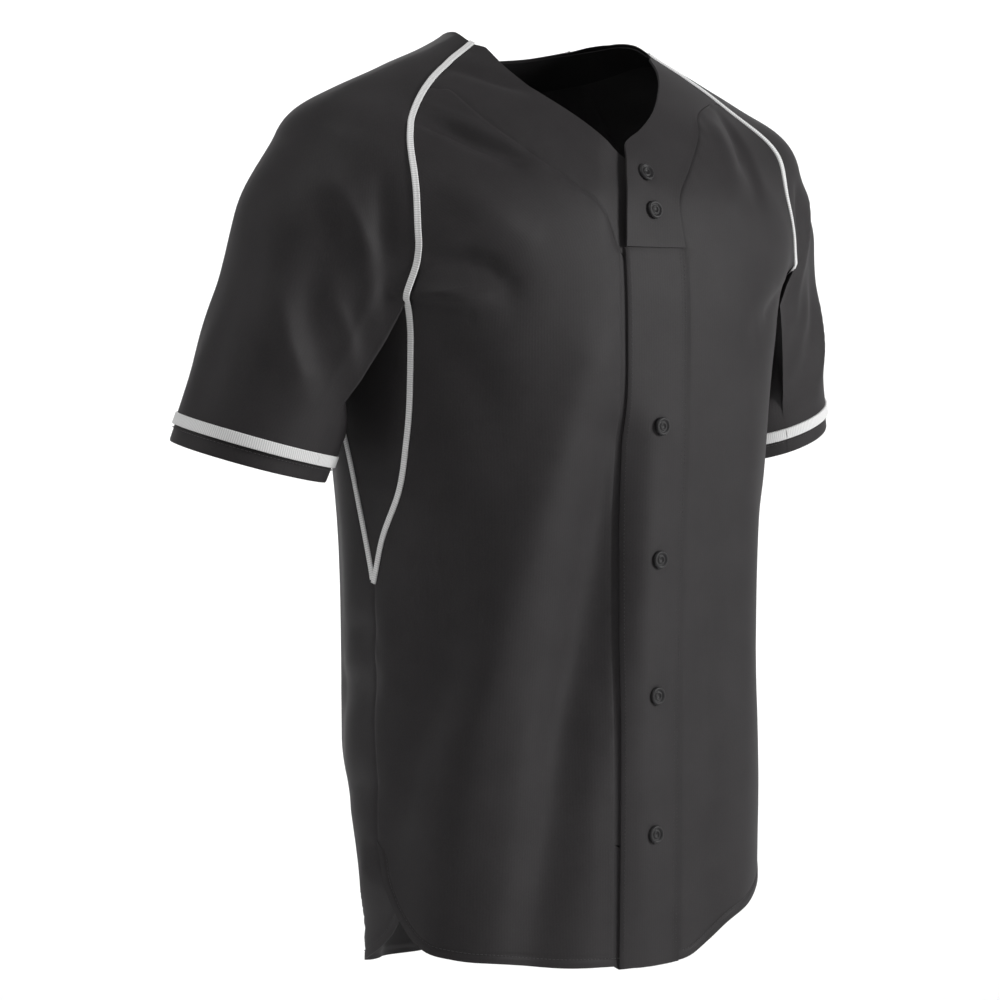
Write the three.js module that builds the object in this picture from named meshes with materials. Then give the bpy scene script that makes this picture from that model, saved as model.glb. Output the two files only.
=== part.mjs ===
// A button-front baseball jersey, filled out as if worn, with nothing inside it.
// Millimetres, +Z up. The front faces -Y and the wearer's left is +X.
// The origin lies between the shoulders, level with the tops of the shoulder seams.
import * as THREE from 'three'

// Cloth
const CLOTH = 1.6          // wall of the body and sleeve knit
const DOUBLE_CLOTH = 2.0   // neck band, placket and cuff band, which are folded double
const SEAM_GAP = 0.3       // parting between sewn pieces
const SEAM_INSET = 0.25    // how far each piece is drawn back from a shared seam line

// Body: one row for each height, as half-sizes of a rounded section round the Z axis
const BODY = [
  { z: 20, side: 86, front: 38, back: 58, frontPower: 1.6, backPower: 2.3 },
  { z: 0, side: 95, front: 44, back: 64, frontPower: 1.5, backPower: 2.3 },
  { z: -12, side: 119, front: 51, back: 70, frontPower: 1.5, backPower: 2.2 },
  { z: -28, side: 161, front: 62, back: 82, frontPower: 1.5, backPower: 2.0 },
  { z: -44, side: 195, front: 74, back: 95, frontPower: 1.55, backPower: 1.9 },
  { z: -60, side: 211, front: 87, back: 107, frontPower: 1.7, backPower: 1.9 },
  { z: -82, side: 223, front: 102, back: 121, frontPower: 1.95, backPower: 2.1 },
  { z: -100, side: 228, front: 112, back: 129, frontPower: 2.15, backPower: 2.3 },
  { z: -130, side: 231, front: 126, back: 139, frontPower: 2.4, backPower: 2.4 },
  { z: -165, side: 229, front: 134, back: 146, frontPower: 2.6, backPower: 2.5 },
  { z: -205, side: 218, front: 138, back: 147, frontPower: 2.6, backPower: 2.5 },
  { z: -245, side: 205, front: 139, back: 145, frontPower: 2.6, backPower: 2.5 },
  { z: -290, side: 197, front: 139, back: 141, frontPower: 2.6, backPower: 2.45 },
  { z: -340, side: 192, front: 138, back: 136, frontPower: 2.6, backPower: 2.4 },
  { z: -400, side: 188, front: 135, back: 130, frontPower: 2.6, backPower: 2.4 },
  { z: -500, side: 187, front: 131, back: 125, frontPower: 2.6, backPower: 2.4 },
  { z: -640, side: 187, front: 129, back: 124, frontPower: 2.9, backPower: 2.4 },
  { z: -770, side: 187, front: 128, back: 122, frontPower: 2.9, backPower: 2.4 }
]

// Sleeves: an axis from the ball of the shoulder to the middle of the cuff opening, for each side,
// and how much lower the cuff hangs at its outer side and in front than in its middle
const ARMS = {
  right: { side: -1, top: [194, 9, -112], cuff: [281, 36, -346], outDrop: 10, frontDrop: 5 },
  left: { side: 1, top: [197, 3, -113], cuff: [268, 32, -333], outDrop: 0, frontDrop: 0 }
}
// Half-sizes of the sleeve at distances down that axis, across it and front to back
const ARM = [
  { along: 0, across: 66.5, deep: 71 },
  { along: 60, across: 79, deep: 71 },
  { along: 120, across: 67.5, deep: 70 },
  { along: 190, across: 66, deep: 65 },
  { along: 262, across: 64, deep: 62 }
]
const SHOULDER_CAP = 54.5  // how far the ball of the shoulder rises above the top of the axis
const ARM_POWER = 2.1      // roundness of the sleeve's section
const BLEND = 34           // how softly the sleeve runs into the body
const SLEEVE_CLEAR = 5     // the inner sleeve wall keeps this far off the body

// Seams, as heights with the angle round the body from the middle of the front, in degrees
const RAGLAN_TOP = -10
const FRONT_RAGLAN = {
  right: [
    { z: RAGLAN_TOP, angle: 79 },
    { z: -28, angle: 78 },
    { z: -50, angle: 76.5 },
    { z: -90, angle: 72 },
    { z: -130, angle: 69 },
    { z: -173, angle: 68 },
    { z: -217, angle: 71.5 }
  ],
  left: [
    { z: RAGLAN_TOP, angle: 79 },
    { z: -28, angle: 78 },
    { z: -50, angle: 76.5 },
    { z: -90, angle: 71.5 },
    { z: -134, angle: 67 },
    { z: -160, angle: 68 },
    { z: -188, angle: 74 },
    { z: -217, angle: 76.5 }
  ]
}
const BACK_RAGLAN = [
  { z: -5, angle: 128 },
  { z: -30, angle: 124 },
  { z: -60, angle: 121 },
  { z: -100, angle: 118 },
  { z: -150, angle: 116 },
  { z: -190, angle: 113.5 },
  { z: -217, angle: 110 }
]
const GUSSET_FRONT = {
  right: [
    { z: -217, angle: 71.5 },
    { z: -250, angle: 72.5 },
    { z: -330, angle: 75.5 },
    { z: -370, angle: 78.5 },
    { z: -410, angle: 85 },
    { z: -445, angle: 88.3 }
  ],
  left: [
    { z: -217, angle: 76.5 },
    { z: -250, angle: 76 },
    { z: -330, angle: 77 },
    { z: -370, angle: 79.5 },
    { z: -410, angle: 85 },
    { z: -445, angle: 88.3 }
  ]
}
const GUSSET_BACK = [
  { z: -217, angle: 110 },
  { z: -260, angle: 104.5 },
  { z: -330, angle: 97.5 },
  { z: -400, angle: 92 },
  { z: -445, angle: 88.3 }
]
const SIDE_ANGLE = 88
const TIP_Z = -445          // tip of the underarm gusset, where the side seam starts
const ARMPIT_Z = -217
const VENT_Z = -650         // top of the side vent

// Edges of the two neck bands, as distances from the middle of the front and heights; t runs from
// the shoulder down. The left band widens into the upper placket, and the right one ends under it.
const NECK_LEFT = [
  { t: 0, x: 90, z: -10 },
  { t: 0.2, x: 80, z: -31 },
  { t: 0.36, x: 58, z: -50 },
  { t: 0.48, x: 34, z: -67 },
  { t: 0.58, x: 10, z: -81 },
  { t: 0.64, x: -9, z: -91 },
  { t: 0.7, x: -17, z: -106 },
  { t: 0.82, x: -26, z: -130 },
  { t: 0.9, x: -31, z: -150 },
  { t: 1, x: -34, z: -175.7 }
]
const BAND_LEFT = [
  { t: 0, x: 143, z: -49 },
  { t: 0.2, x: 102, z: -62 },
  { t: 0.42, x: 80, z: -84 },
  { t: 0.6, x: 52, z: -111 },
  { t: 0.72, x: 31, z: -134 },
  { t: 0.8, x: 28, z: -150 },
  { t: 1, x: 30, z: -175.7 }
]
const NECK_RIGHT = [
  { t: 0, x: 90, z: -10 },
  { t: 0.25, x: 85, z: -31 },
  { t: 0.48, x: 69, z: -52 },
  { t: 0.66, x: 45, z: -73 },
  { t: 0.86, x: 12, z: -103 },
  { t: 1, x: -18, z: -124 }
]
const BAND_RIGHT = [
  { t: 0, x: 143, z: -49 },
  { t: 0.25, x: 128, z: -78 },
  { t: 0.48, x: 99, z: -107 },
  { t: 0.64, x: 70, z: -130 },
  { t: 0.78, x: 48, z: -152 },
  { t: 0.86, x: 38, z: -180 },
  { t: 1, x: -18, z: -184 }
]
const BAND_RIGHT_SEAM_END = 0.86
// Top edge of the back and the sleeves at the neck, by angle from the middle of the front
const NECK_BACK = [
  { angle: 79, z: -10 },
  { angle: 90, z: -1 },
  { angle: 100, z: 1 },
  { angle: 112, z: -1 },
  { angle: 128, z: -5 },
  { angle: 150, z: -11 },
  { angle: 180, z: -15 }
]
const FACING_WIDTH = 33
const FACING_END = 81          // angle at which the facing stops, just behind the front raglan seams

// Placket, from the middle of the buttons
const PLACKET_FREE = -34
const PLACKET_SEWN = 30
const PLACKET_TOP = -176
const PLACKET_PROUD = 0.7
const UNDERLAP = 24         // how far the right front runs on under the placket

// Hems, by angle from the middle of the front: the tails are longest in the middle
const HEM_RIGHT = [
  { angle: 0, z: -755 },
  { angle: 18, z: -752 },
  { angle: 38, z: -749 },
  { angle: 53, z: -743 },
  { angle: 64, z: -739 },
  { angle: 71, z: -733 },
  { angle: 77, z: -718 },
  { angle: 82, z: -698 },
  { angle: 86, z: -674 },
  { angle: 88, z: -652 }
]
const HEM_LEFT = [
  { angle: 0, z: -755 },
  { angle: 12, z: -754 },
  { angle: 21, z: -750 },
  { angle: 28, z: -741 },
  { angle: 36, z: -727 },
  { angle: 46, z: -715 },
  { angle: 54, z: -703 },
  { angle: 64, z: -692 },
  { angle: 76, z: -680 },
  { angle: 84, z: -668 },
  { angle: 88, z: -652 }
]
const HEM_BACK = [
  { angle: 78, z: -690 },
  { angle: 80, z: -700 },
  { angle: 83, z: -711 },
  { angle: 89, z: -731 },
  { angle: 100, z: -750 },
  { angle: 120, z: -757 },
  { angle: 180, z: -761 }
]
const TAIL_TUCK = 34        // how far the back tail swings in at its hem
const TUCK_TOP = -575
const TAIL_OVERLAP = 10     // degrees that the back tail reaches forward inside the front

// Trims
const PIPING = { width: 6, height: 1.5, lift: 0.45 }
const ARMPIT_RISE = 2.8     // the piping stands off where the sleeve turns away under the arm
const CUFF_BRAID = { width: 9.5, height: 1.1, lift: 0.6 }
const CUFF_BAND = 13.5      // depth of the dark band below the braid
const CUFF_INSET = 0.9      // the band lies a little inside the sleeve

const BUTTON_HEIGHTS = [-116, -146, -319, -426, -536, -648]
const BUTTON = { radius: 7.5, rim: 3.2, well: 2.1, wellRadius: 4.2 }

const COLOURS = { cloth: 0x3b393b, inside: 0x1b1a1b, braid: 0xe8e8e8, button: 0x2b2a2b }

// Smooth curve through a short table, with flat turns so that it never overshoots
function curve (rows, column, key) {
  const sorted = [...rows].sort((a, b) => a[key] - b[key])
  const keys = sorted.map((row) => row[key])
  const values = sorted.map((row) => row[column])
  const steps = keys.slice(1).map((k, i) => (values[i + 1] - values[i]) / (k - keys[i]))
  const slopes = values.map((_, i) => {
    if (i === 0) return steps[0]
    if (i === values.length - 1) return steps[i - 1]
    if (steps[i - 1] * steps[i] <= 0) return 0
    const before = keys[i] - keys[i - 1]
    const after = keys[i + 1] - keys[i]
    return (steps[i] * before + steps[i - 1] * after) / (before + after)
  })
  return (at) => {
    const k = Math.min(Math.max(at, keys[0]), keys[keys.length - 1])
    let i = 0
    while (i < keys.length - 2 && k > keys[i + 1]) i += 1
    const span = keys[i + 1] - keys[i]
    const t = (k - keys[i]) / span
    const t2 = t * t
    const t3 = t2 * t
    return (2 * t3 - 3 * t2 + 1) * values[i] + (t3 - 2 * t2 + t) * span * slopes[i] +
      (3 * t2 - 2 * t3) * values[i + 1] + (t3 - t2) * span * slopes[i + 1]
  }
}

const curves = (rows, key) => Object.fromEntries(
  Object.keys(rows[0]).filter((name) => name !== key).map((name) => [name, curve(rows, name, key)]))
const mix = (a, b, t) => a + (b - a) * t
const clamp = (x, low, high) => Math.min(Math.max(x, low), high)
const smooth = (x) => { const t = clamp(x, 0, 1); return t * t * (3 - 2 * t) }
const radians = (degrees) => degrees * Math.PI / 180
const vector = (x, y, z) => new THREE.Vector3(x, y, z)
const range = (count) => Array.from({ length: count + 1 }, (_, i) => i / count)

const body = curves(BODY, 'z')
const arm = curves(ARM, 'along')
for (const side of Object.values(ARMS)) {
  side.start = vector(...side.top)
  side.end = vector(...side.cuff)
  side.length = side.start.distanceTo(side.end)
  side.axis = side.end.clone().sub(side.start).normalize()
  side.out = vector(0, -1, 0).cross(side.axis).normalize()
  if (side.out.x < 0) side.out.negate()
  side.fore = side.out.clone().cross(side.axis).normalize()
  if (side.fore.y > 0) side.fore.negate()
}

// Signed depth of a point in the body: about zero on its surface and negative inside
function bodyDepth (p) {
  const ahead = p.y < 0
  const depth = ahead ? body.front(p.z) : body.back(p.z)
  const power = ahead ? body.frontPower(p.z) : body.backPower(p.z)
  const ratio = Math.pow(Math.pow(Math.abs(p.x) / body.side(p.z), power) +
    Math.pow(Math.abs(p.y) / depth, power), 1 / power)
  return Math.hypot(p.x, p.y) * (1 - 1 / Math.max(ratio, 1e-6))
}

// The same for a sleeve, which ends in a round cap over the ball of the shoulder
function armDepth (p) {
  const side = p.x < 0 ? ARMS.right : ARMS.left
  const offset = vector(Math.abs(p.x), p.y, p.z).sub(side.start)
  const along = offset.dot(side.axis)
  const across = offset.dot(side.out)
  const fore = offset.dot(side.fore)
  const above = Math.min(along, 0)
  const ratio = Math.pow(Math.pow(Math.abs(across) / arm.across(along), ARM_POWER) +
    Math.pow(Math.abs(fore) / arm.deep(along), ARM_POWER) +
    Math.pow(Math.abs(above) / SHOULDER_CAP, ARM_POWER), 1 / ARM_POWER)
  return Math.hypot(across, fore, above) * (1 - 1 / Math.max(ratio, 1e-6))
}

// Body and sleeve run softly into each other above the armpit; below it the body is on its own,
// so the sleeve counts as no deeper than its fade there
function formDepth (p) {
  const fade = 90 * smooth((ARMPIT_Z + 35 - p.z) / 50)
  return blend(bodyDepth(p), Math.max(armDepth(p), -60) + fade)
}
function blend (a, b) {
  const h = clamp(0.5 + 0.5 * (b - a) / BLEND, 0, 1)
  return mix(b, a, h) - BLEND * h * (1 - h)
}
const wornDepth = (p) => blend(bodyDepth(p), armDepth(p))

function gradient (depth, p) {
  const step = 0.5
  const slope = ['x', 'y', 'z'].map((axis) => {
    const ahead = p.clone()
    const behind = p.clone()
    ahead[axis] += step
    behind[axis] -= step
    return depth(ahead) - depth(behind)
  })
  return vector(...slope).normalize()
}

// Outermost crossing of the surface on a ray from a point inside it
function cast (depth, from, direction, reach = 430) {
  const at = (distance) => from.clone().addScaledVector(direction, distance)
  const marches = 60
  let inside = 0
  for (let i = 1; i <= marches; i += 1) {
    if (depth(at(reach * i / marches)) < 0) inside = reach * i / marches
  }
  let low = inside
  let high = inside + reach / marches
  for (let i = 0; i < 20; i += 1) {
    const middle = (low + high) / 2
    if (depth(at(middle)) < 0) low = middle
    else high = middle
  }
  return at(low)
}

// Folds that the cloth hangs in, as soft ridges (+) and troughs (-) along lines of places.
// On the body a place is an angle from the middle of the front (+ is the wearer's left) and a height.
const BODY_FOLDS = [
  // Drapes from the right shoulder, and the hollow beside the right armpit
  { line: [[-72, -72], [-62, -88], [-50, -105]], width: 12, height: -5 },
  { line: [[-66, -118], [-57, -144], [-47, -169]], width: 16, height: 4 },
  { line: [[-68, -190], [-58, -191], [-51, -204]], width: 15, height: -6 },
  { line: [[-70, -219], [-61, -221], [-54, -226]], width: 13, height: 4 },
  { line: [[-66, -245], [-58, -280], [-56, -310]], width: 22, height: -5 },
  // The long diagonal falls of the right front, down to the hem
  { line: [[-28, -270], [-40, -361], [-47, -423], [-53, -486], [-61, -570], [-70, -745]],
    width: 26, height: 7 },
  { line: [[-17, -338], [-22, -409], [-27, -489], [-33, -552], [-38, -638], [-44, -745]],
    width: 29, height: -14 },
  { line: [[-5, -330], [-6, -480], [-5, -760]], width: 24, height: 6 },
  { line: [[-64, -420], [-66, -518], [-74, -570], [-83, -656]], width: 22, height: -7 },
  { line: [[-84, -457], [-82, -515], [-85, -560]], width: 17, height: 3 },
  // Small hollows behind the right side seam
  { line: [[-90, -481], [-103, -488]], width: 13, height: -4 },
  { line: [[-90, -527], [-106, -536]], width: 15, height: -5 },
  { line: [[-90, -606], [-104, -612]], width: 13, height: -4 },
  // The left front
  { line: [[64, -72], [56, -100], [50, -132]], width: 11, height: -3 },
  { line: [[56, -76], [47, -108], [40, -140]], width: 12, height: 2.5 },
  { line: [[66, -215], [56, -222], [46, -238]], width: 18, height: -5 },
  { line: [[22, -300], [25, -480], [26, -760]], width: 22, height: -3.5 },
  { line: [[42, -330], [45, -520], [40, -760]], width: 30, height: 5 },
  { line: [[62, -400], [66, -560], [60, -740]], width: 26, height: -5 },
  { line: [[94, -470], [108, -500]], width: 15, height: -4 },
  { line: [[92, -560], [106, -575]], width: 15, height: -4 },
  // The back: pulls from both armpits, and long falls
  { line: [[118, -130], [132, -160], [146, -200]], width: 15, height: -4 },
  { line: [[-118, -130], [-132, -165], [-147, -205]], width: 15, height: -4 },
  { line: [[112, -190], [126, -232], [142, -258]], width: 18, height: 4.5 },
  { line: [[-112, -195], [-125, -238], [-141, -262]], width: 18, height: 4.5 },
  { line: [[104, -390], [110, -560], [112, -740]], width: 26, height: -5 },
  { line: [[-112, -350], [-110, -540], [-116, -720]], width: 26, height: -5 },
  { line: [[140, -250], [132, -480], [124, -750]], width: 30, height: 6 },
  { line: [[-138, -260], [-134, -500], [-128, -750]], width: 30, height: 6 },
  { line: [[160, -290], [152, -520], [148, -760]], width: 28, height: -5.5 },
  { line: [[-158, -280], [-155, -500], [-148, -760]], width: 28, height: -5.5 },
  { line: [[182, -330], [176, -560], [178, -760]], width: 32, height: 5.5 }
]

// On a sleeve a place is its distance out from the middle of the body, its distance back and its height.
const SLEEVE_FOLDS = [
  { line: [[252, -45, -130], [241, -54, -159], [226, -56, -200], [218, -42, -258], [220, -30, -310]],
    width: 12, height: 5 },
  { line: [[226, -68, -125], [221, -69, -158], [214, -60, -195]], width: 10, height: -5 },
  { line: [[262, -40, -150], [262, -46, -200], [252, -46, -240]], width: 17, height: -5 },
  { line: [[260, -45, -212], [248, -46, -238], [232, -36, -290]], width: 12, height: 3.5 },
  { line: [[290, -22, -210], [288, -29, -255], [278, -33, -290]], width: 13, height: 3.5 },
  { line: [[276, -36, -190], [274, -38, -230], [268, -40, -262]], width: 15, height: -4.5 },
  { line: [[288, -10, -160], [298, -14, -212], [302, -16, -262]], width: 14, height: 3 },
  { line: [[262, 84, -160], [252, 96, -240]], width: 16, height: -5 },
  { line: [[290, 70, -180], [292, 78, -290]], width: 16, height: 4.5 },
  { line: [[236, 92, -170], [228, 88, -240]], width: 13, height: 4.5 },
  { line: [[320, 20, -220], [330, 30, -310]], width: 18, height: -3.5 }
]

const bodyRay = (angle) => vector(Math.sin(radians(angle)), -Math.cos(radians(angle)), 0)
const bareBody = (angle, z) => cast(formDepth, vector(0, 0, z), bodyRay(angle))
const segments = (places) => places.slice(1).map((place, i) => new THREE.Line3(places[i], place))
const folds = BODY_FOLDS.map((fold) => ({
  ...fold, segments: segments(fold.line.map((place) => bareBody(...place)))
}))
const sleeveFolds = SLEEVE_FOLDS.map((fold) => ({
  ...fold, segments: segments(fold.line.map((place) => vector(...place)))
}))

// A fold is lower near its two ends
function foldHeight (list, p) {
  return list.reduce((sum, fold) => {
    let off = Infinity
    let along = 0
    fold.segments.forEach((segment, i) => {
      const t = clamp(segment.closestPointToPointParameter(p, false), 0, 1)
      const distance = segment.at(t, vector(0, 0, 0)).distanceTo(p) / fold.width
      if (distance < off) {
        off = distance
        along = (i + t) / fold.segments.length
      }
    })
    if (off > 3) return sum
    const taper = 0.25 + 0.75 * Math.sin(Math.PI * mix(0.12, 0.88, along))
    return sum + fold.height * taper * Math.exp(-off * off)
  }, 0)
}

// A place on the outside of the body: its point, lifted if asked, and the way out
function onBody (angle, z, lift = 0) {
  const bare = bareBody(angle, z)
  const way = gradient(formDepth, bare)
  return { p: bare.addScaledVector(way, foldHeight(folds, bare) + lift), n: way }
}

// The angle of a place on the front, from its distance from the middle
function frontAngle (x, z) {
  const hit = cast(formDepth, vector(x, 0, z), vector(0, -1, 0))
  return Math.atan2(x, -hit.y) * 180 / Math.PI
}

// A net is a grid of places with its four-sided cells; a grid may have holes, where it has no place.
// A ring net closes on itself across its columns.
function gridNet (rows, ring = false) {
  const places = []
  const index = rows.map((row) => row.map((place) => place ? places.push(place) - 1 : -1))
  const cells = []
  for (let r = 0; r < rows.length - 1; r += 1) {
    const width = rows[r].length
    for (let c = 0; c < (ring ? width : width - 1); c += 1) {
      const next = (c + 1) % width
      const cell = [index[r][c], index[r + 1][c], index[r + 1][next], index[r][next]]
      if (cell.every((i) => i >= 0)) cells.push(cell)
    }
  }
  return { places, cells }
}

// Draws the rim of a grid back from the seams, along its rows or across them
function drawBack (place, toward, amount) {
  const pull = toward.p.clone().sub(place.p)
  const room = pull.length()
  return { ...place, p: place.p.clone().addScaledVector(pull.normalize(), Math.min(amount, room / 3)) }
}
function insetEnds (row, amount = SEAM_INSET) {
  const first = row.findIndex(Boolean)
  const last = row.length - 1
  const result = [...row]
  result[first] = drawBack(row[first], row[first + 1], amount)
  result[last] = drawBack(row[last], row[last - 1], amount)
  return result
}
const insetRow = (row, beside, amount = SEAM_INSET) =>
  row.map((place, i) => place && beside[i] ? drawBack(place, beside[i], amount) : place)

function netNormals (net) {
  const normals = net.places.map(() => vector(0, 0, 0))
  for (const cell of net.cells) {
    const [a, b, c, d] = cell.map((i) => net.places[i].p)
    const face = c.clone().sub(a).cross(d.clone().sub(b))
    for (const i of cell) normals[i].add(face)
  }
  return normals.map((normal, i) => net.places[i].n ?? normal.normalize())
}

// Turns a net into a closed wall. The net's places are its outside, and its cells turn
// anticlockwise seen from there, or clockwise if it is flipped.
function wall (name, net, thickness, material, flip = false) {
  const cells = flip ? net.cells.map((cell) => [...cell].reverse()) : net.cells
  const normals = netNormals({ places: net.places, cells })
  const count = net.places.length
  const outer = net.places.map((place) => place.p)
  const inner = net.places.map((place, i) => place.p.clone().addScaledVector(normals[i], -thickness))
  const triangles = []
  const edges = new Map()
  for (const cell of cells) {
    const [i, j, k, l] = cell
    triangles.push([i, j, k], [i, k, l])
    triangles.push([i + count, k + count, j + count], [i + count, l + count, k + count])
    for (let e = 0; e < 4; e += 1) {
      const from = cell[e]
      const to = cell[(e + 1) % 4]
      if (edges.has(`${to},${from}`)) edges.delete(`${to},${from}`)
      else edges.set(`${from},${to}`, [from, to])
    }
  }
  for (const [from, to] of edges.values()) {
    triangles.push([to, from, from + count], [to, from + count, to + count])
  }
  const geometry = new THREE.BufferGeometry()
  geometry.setAttribute('position',
    new THREE.Float32BufferAttribute([...outer, ...inner].flatMap((p) => [p.x, p.y, p.z]), 3))
  geometry.setIndex(triangles.flat())
  geometry.computeVertexNormals()
  const mesh = new THREE.Mesh(geometry, material)
  mesh.name = name
  return mesh
}

const material = (color, roughness) => new THREE.MeshStandardMaterial({ color, roughness, metalness: 0 })
const CLOTH_FINISH = material(COLOURS.cloth, 0.7)
const INSIDE_FINISH = material(COLOURS.inside, 0.85)
const BRAID_FINISH = material(COLOURS.braid, 0.65)
const BUTTON_FINISH = material(COLOURS.button, 0.35)

const jersey = new THREE.Group()

// Seam lines, as heights shared by the pieces that meet there
const sideSign = { right: -1, left: 1 }
const seamOfSides = (rows) => ({
  right: curve(rows.right, 'angle', 'z'), left: curve(rows.left, 'angle', 'z')
})
const frontRaglan = seamOfSides(FRONT_RAGLAN)
const backRaglan = curve(BACK_RAGLAN, 'angle', 'z')
const gussetFront = seamOfSides(GUSSET_FRONT)
const gussetBack = curve(GUSSET_BACK, 'angle', 'z')
const neckBack = curve(NECK_BACK, 'z', 'angle')
const steps = (from, to, count) => range(count).map((t) => mix(from, to, t))
const frontHeights = steps(RAGLAN_TOP, ARMPIT_Z, 13)
const backHeights = steps(BACK_RAGLAN[0].z, ARMPIT_Z, 13)
const gussetHeights = [...steps(ARMPIT_Z, TIP_Z, 9).slice(0, -1), TIP_Z + 7, TIP_Z]
const UNDERLAP_COLUMNS = [-UNDERLAP, -6, 18]
const middleHeights = gussetHeights.map((z) =>
  mix(PLACKET_TOP - 4, TIP_Z, (z - ARMPIT_Z) / (TIP_Z - ARMPIT_Z)))
const lowerHeights = steps(TIP_Z, VENT_Z, 6)
const HEM_STEPS = 5

const xz = (edge, t) => ({ x: edge.x(t), z: edge.z(t) })
const angled = ({ x, z }) => ({ angle: frontAngle(x, z), z })
const freeEdge = curve(NECK_LEFT.filter((row) => row.t >= 0.64), 'x', 'z')

// The right side dips under the free edge of the upper placket and the placket
const DIP = -(DOUBLE_CLOTH - PLACKET_PROUD + 1)
const DIP_RUN = 26
function dip (place) {
  const fromEdge = -place.p.x + freeEdge(place.p.z) - 2
  const near = smooth(1 - fromEdge / DIP_RUN) * smooth((-82 - place.p.z) / 14)
  return { p: place.p.clone().addScaledVector(place.n, DIP * near), n: place.n }
}

// The band's seam is sewn to the front at the same places on both; t runs down the seam
const raglanBelowBand = frontHeights.filter((z) => z < BAND_LEFT[0].z - 6)
const bandEnd = { right: BAND_RIGHT_SEAM_END, left: 1 }
const bandSteps = (which) => steps(0.05, bandEnd[which], raglanBelowBand.length - 1)
const halved = (list) => list.flatMap((t, i) => i > 0 ? [(list[i - 1] + t) / 2, t] : [t])
// Every second place of a line is moved midway between its neighbours
function straighten (line) {
  for (let i = 1; i < line.length - 1; i += 2) {
    line[i].p.copy(line[i - 1].p).add(line[i + 1].p).multiplyScalar(0.5)
  }
}

// Front panel. Its rows run from the middle to the side. The middle edge is the neck band's seam
// and then the placket; the side is the raglan seam, the gusset, the side seam and the vent.
function frontPanel (which) {
  const sign = sideSign[which]
  const right = which === 'right'
  const band = curves(right ? BAND_RIGHT : BAND_LEFT, 't')
  const middle = right ? 38 : PLACKET_SEWN
  const hem = curve(right ? HEM_RIGHT : HEM_LEFT, 'z', 'angle')
  const columns = right ? 12 : 11
  const settle = right ? dip : (place) => place
  const crowd = (t) => mix(t, Math.sin(t * Math.PI / 2), 0.5)
  const row = (from, to, heightAt) => range(columns).map((t) => {
    const angle = mix(from.angle, to.angle, crowd(t))
    const z = mix(from.z, to.z, crowd(t))
    return settle(onBody(sign * angle, heightAt ? heightAt(angle) : z))
  })
  const underlap = right ? UNDERLAP_COLUMNS : []
  const bare = underlap.map(() => null)
  const under = (z) => underlap.map((x) => settle(onBody(-frontAngle(x, z), z)))
  const rows = []
  const seamTs = bandSteps(which)
  raglanBelowBand.forEach((z, i) => {
    const start = xz(band, seamTs[i])
    const lap = z === ARMPIT_Z ? under(start.z - 7) : bare
    rows.push([...lap, ...row(angled(start), { angle: frontRaglan[which](z), z })])
  })
  gussetHeights.slice(1).forEach((z, i) => {
    const side = z > TIP_Z ? gussetFront[which](z) : SIDE_ANGLE
    const start = middleHeights[i + 1]
    rows.push([...under(start), ...row(angled({ x: middle, z: start }), { angle: side, z })])
  })
  lowerHeights.slice(1).forEach((z) => {
    rows.push([...under(z), ...row(angled({ x: middle, z }), { angle: SIDE_ANGLE, z })])
  })
  steps(0, 1, HEM_STEPS).slice(1).forEach((t) => {
    const height = (angle) => mix(VENT_Z, hem(Math.abs(angle)), t)
    const start = angled({ x: middle, z: height(14) })
    const lap = underlap.map((x) => {
      const angle = frontAngle(x, height(0))
      return settle(onBody(-angle, height(angle)))
    })
    rows.push([...lap, ...row(start, { angle: SIDE_ANGLE, z: 0 }, height)])
  })
  const drawn = rows.map((line) => insetEnds(line))
  drawn[0] = insetRow(drawn[0], drawn[1], 0.6)
  return wall(`front_${which}`, gridNet(drawn), CLOTH, CLOTH_FINISH, right)
}

// Neck band of one side. The left one holds the two upper buttons.
function neckBand (which) {
  const sign = sideSign[which]
  const right = which === 'right'
  const neck = curves(right ? NECK_RIGHT : NECK_LEFT, 't')
  const seam = curves(right ? BAND_RIGHT : BAND_LEFT, 't')
  const lift = (place) => {
    if (right) return dip(place)
    const proud = PLACKET_PROUD * smooth((-50 - place.p.z) / 35)
    return { p: place.p.clone().addScaledVector(place.n, proud), n: place.n }
  }
  const sewn = bandSteps(which)
  const ts = right ? [0, ...sewn, 0.93, 1] : [0, ...sewn]
  const [first, second, third] = frontHeights
  const across = [first, second, third, BAND_LEFT[0].z].map((z) => (z - first) / (BAND_LEFT[0].z - first))
  const us = halved(across)
  const rows = halved(ts).map((t) => {
    const from = angled(xz(neck, t))
    const to = angled(xz(seam, t))
    return us.map((u) => {
      const z = mix(from.z, to.z, u)
      return lift(onBody(sign * (t === 0 ? frontRaglan[which](z) : mix(from.angle, to.angle, u)), z))
    })
  })
  straighten(rows.map((line) => line[line.length - 1]))
  straighten(rows[0])
  const drawn = rows.map((line) => [line[0], ...insetEnds(line).slice(1)])
  drawn[0] = insetRow(drawn[0], drawn[1], 0.4)
  return wall(`neck_band_${which}`, gridNet(drawn), right ? CLOTH : DOUBLE_CLOTH, CLOTH_FINISH, right)
}

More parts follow.
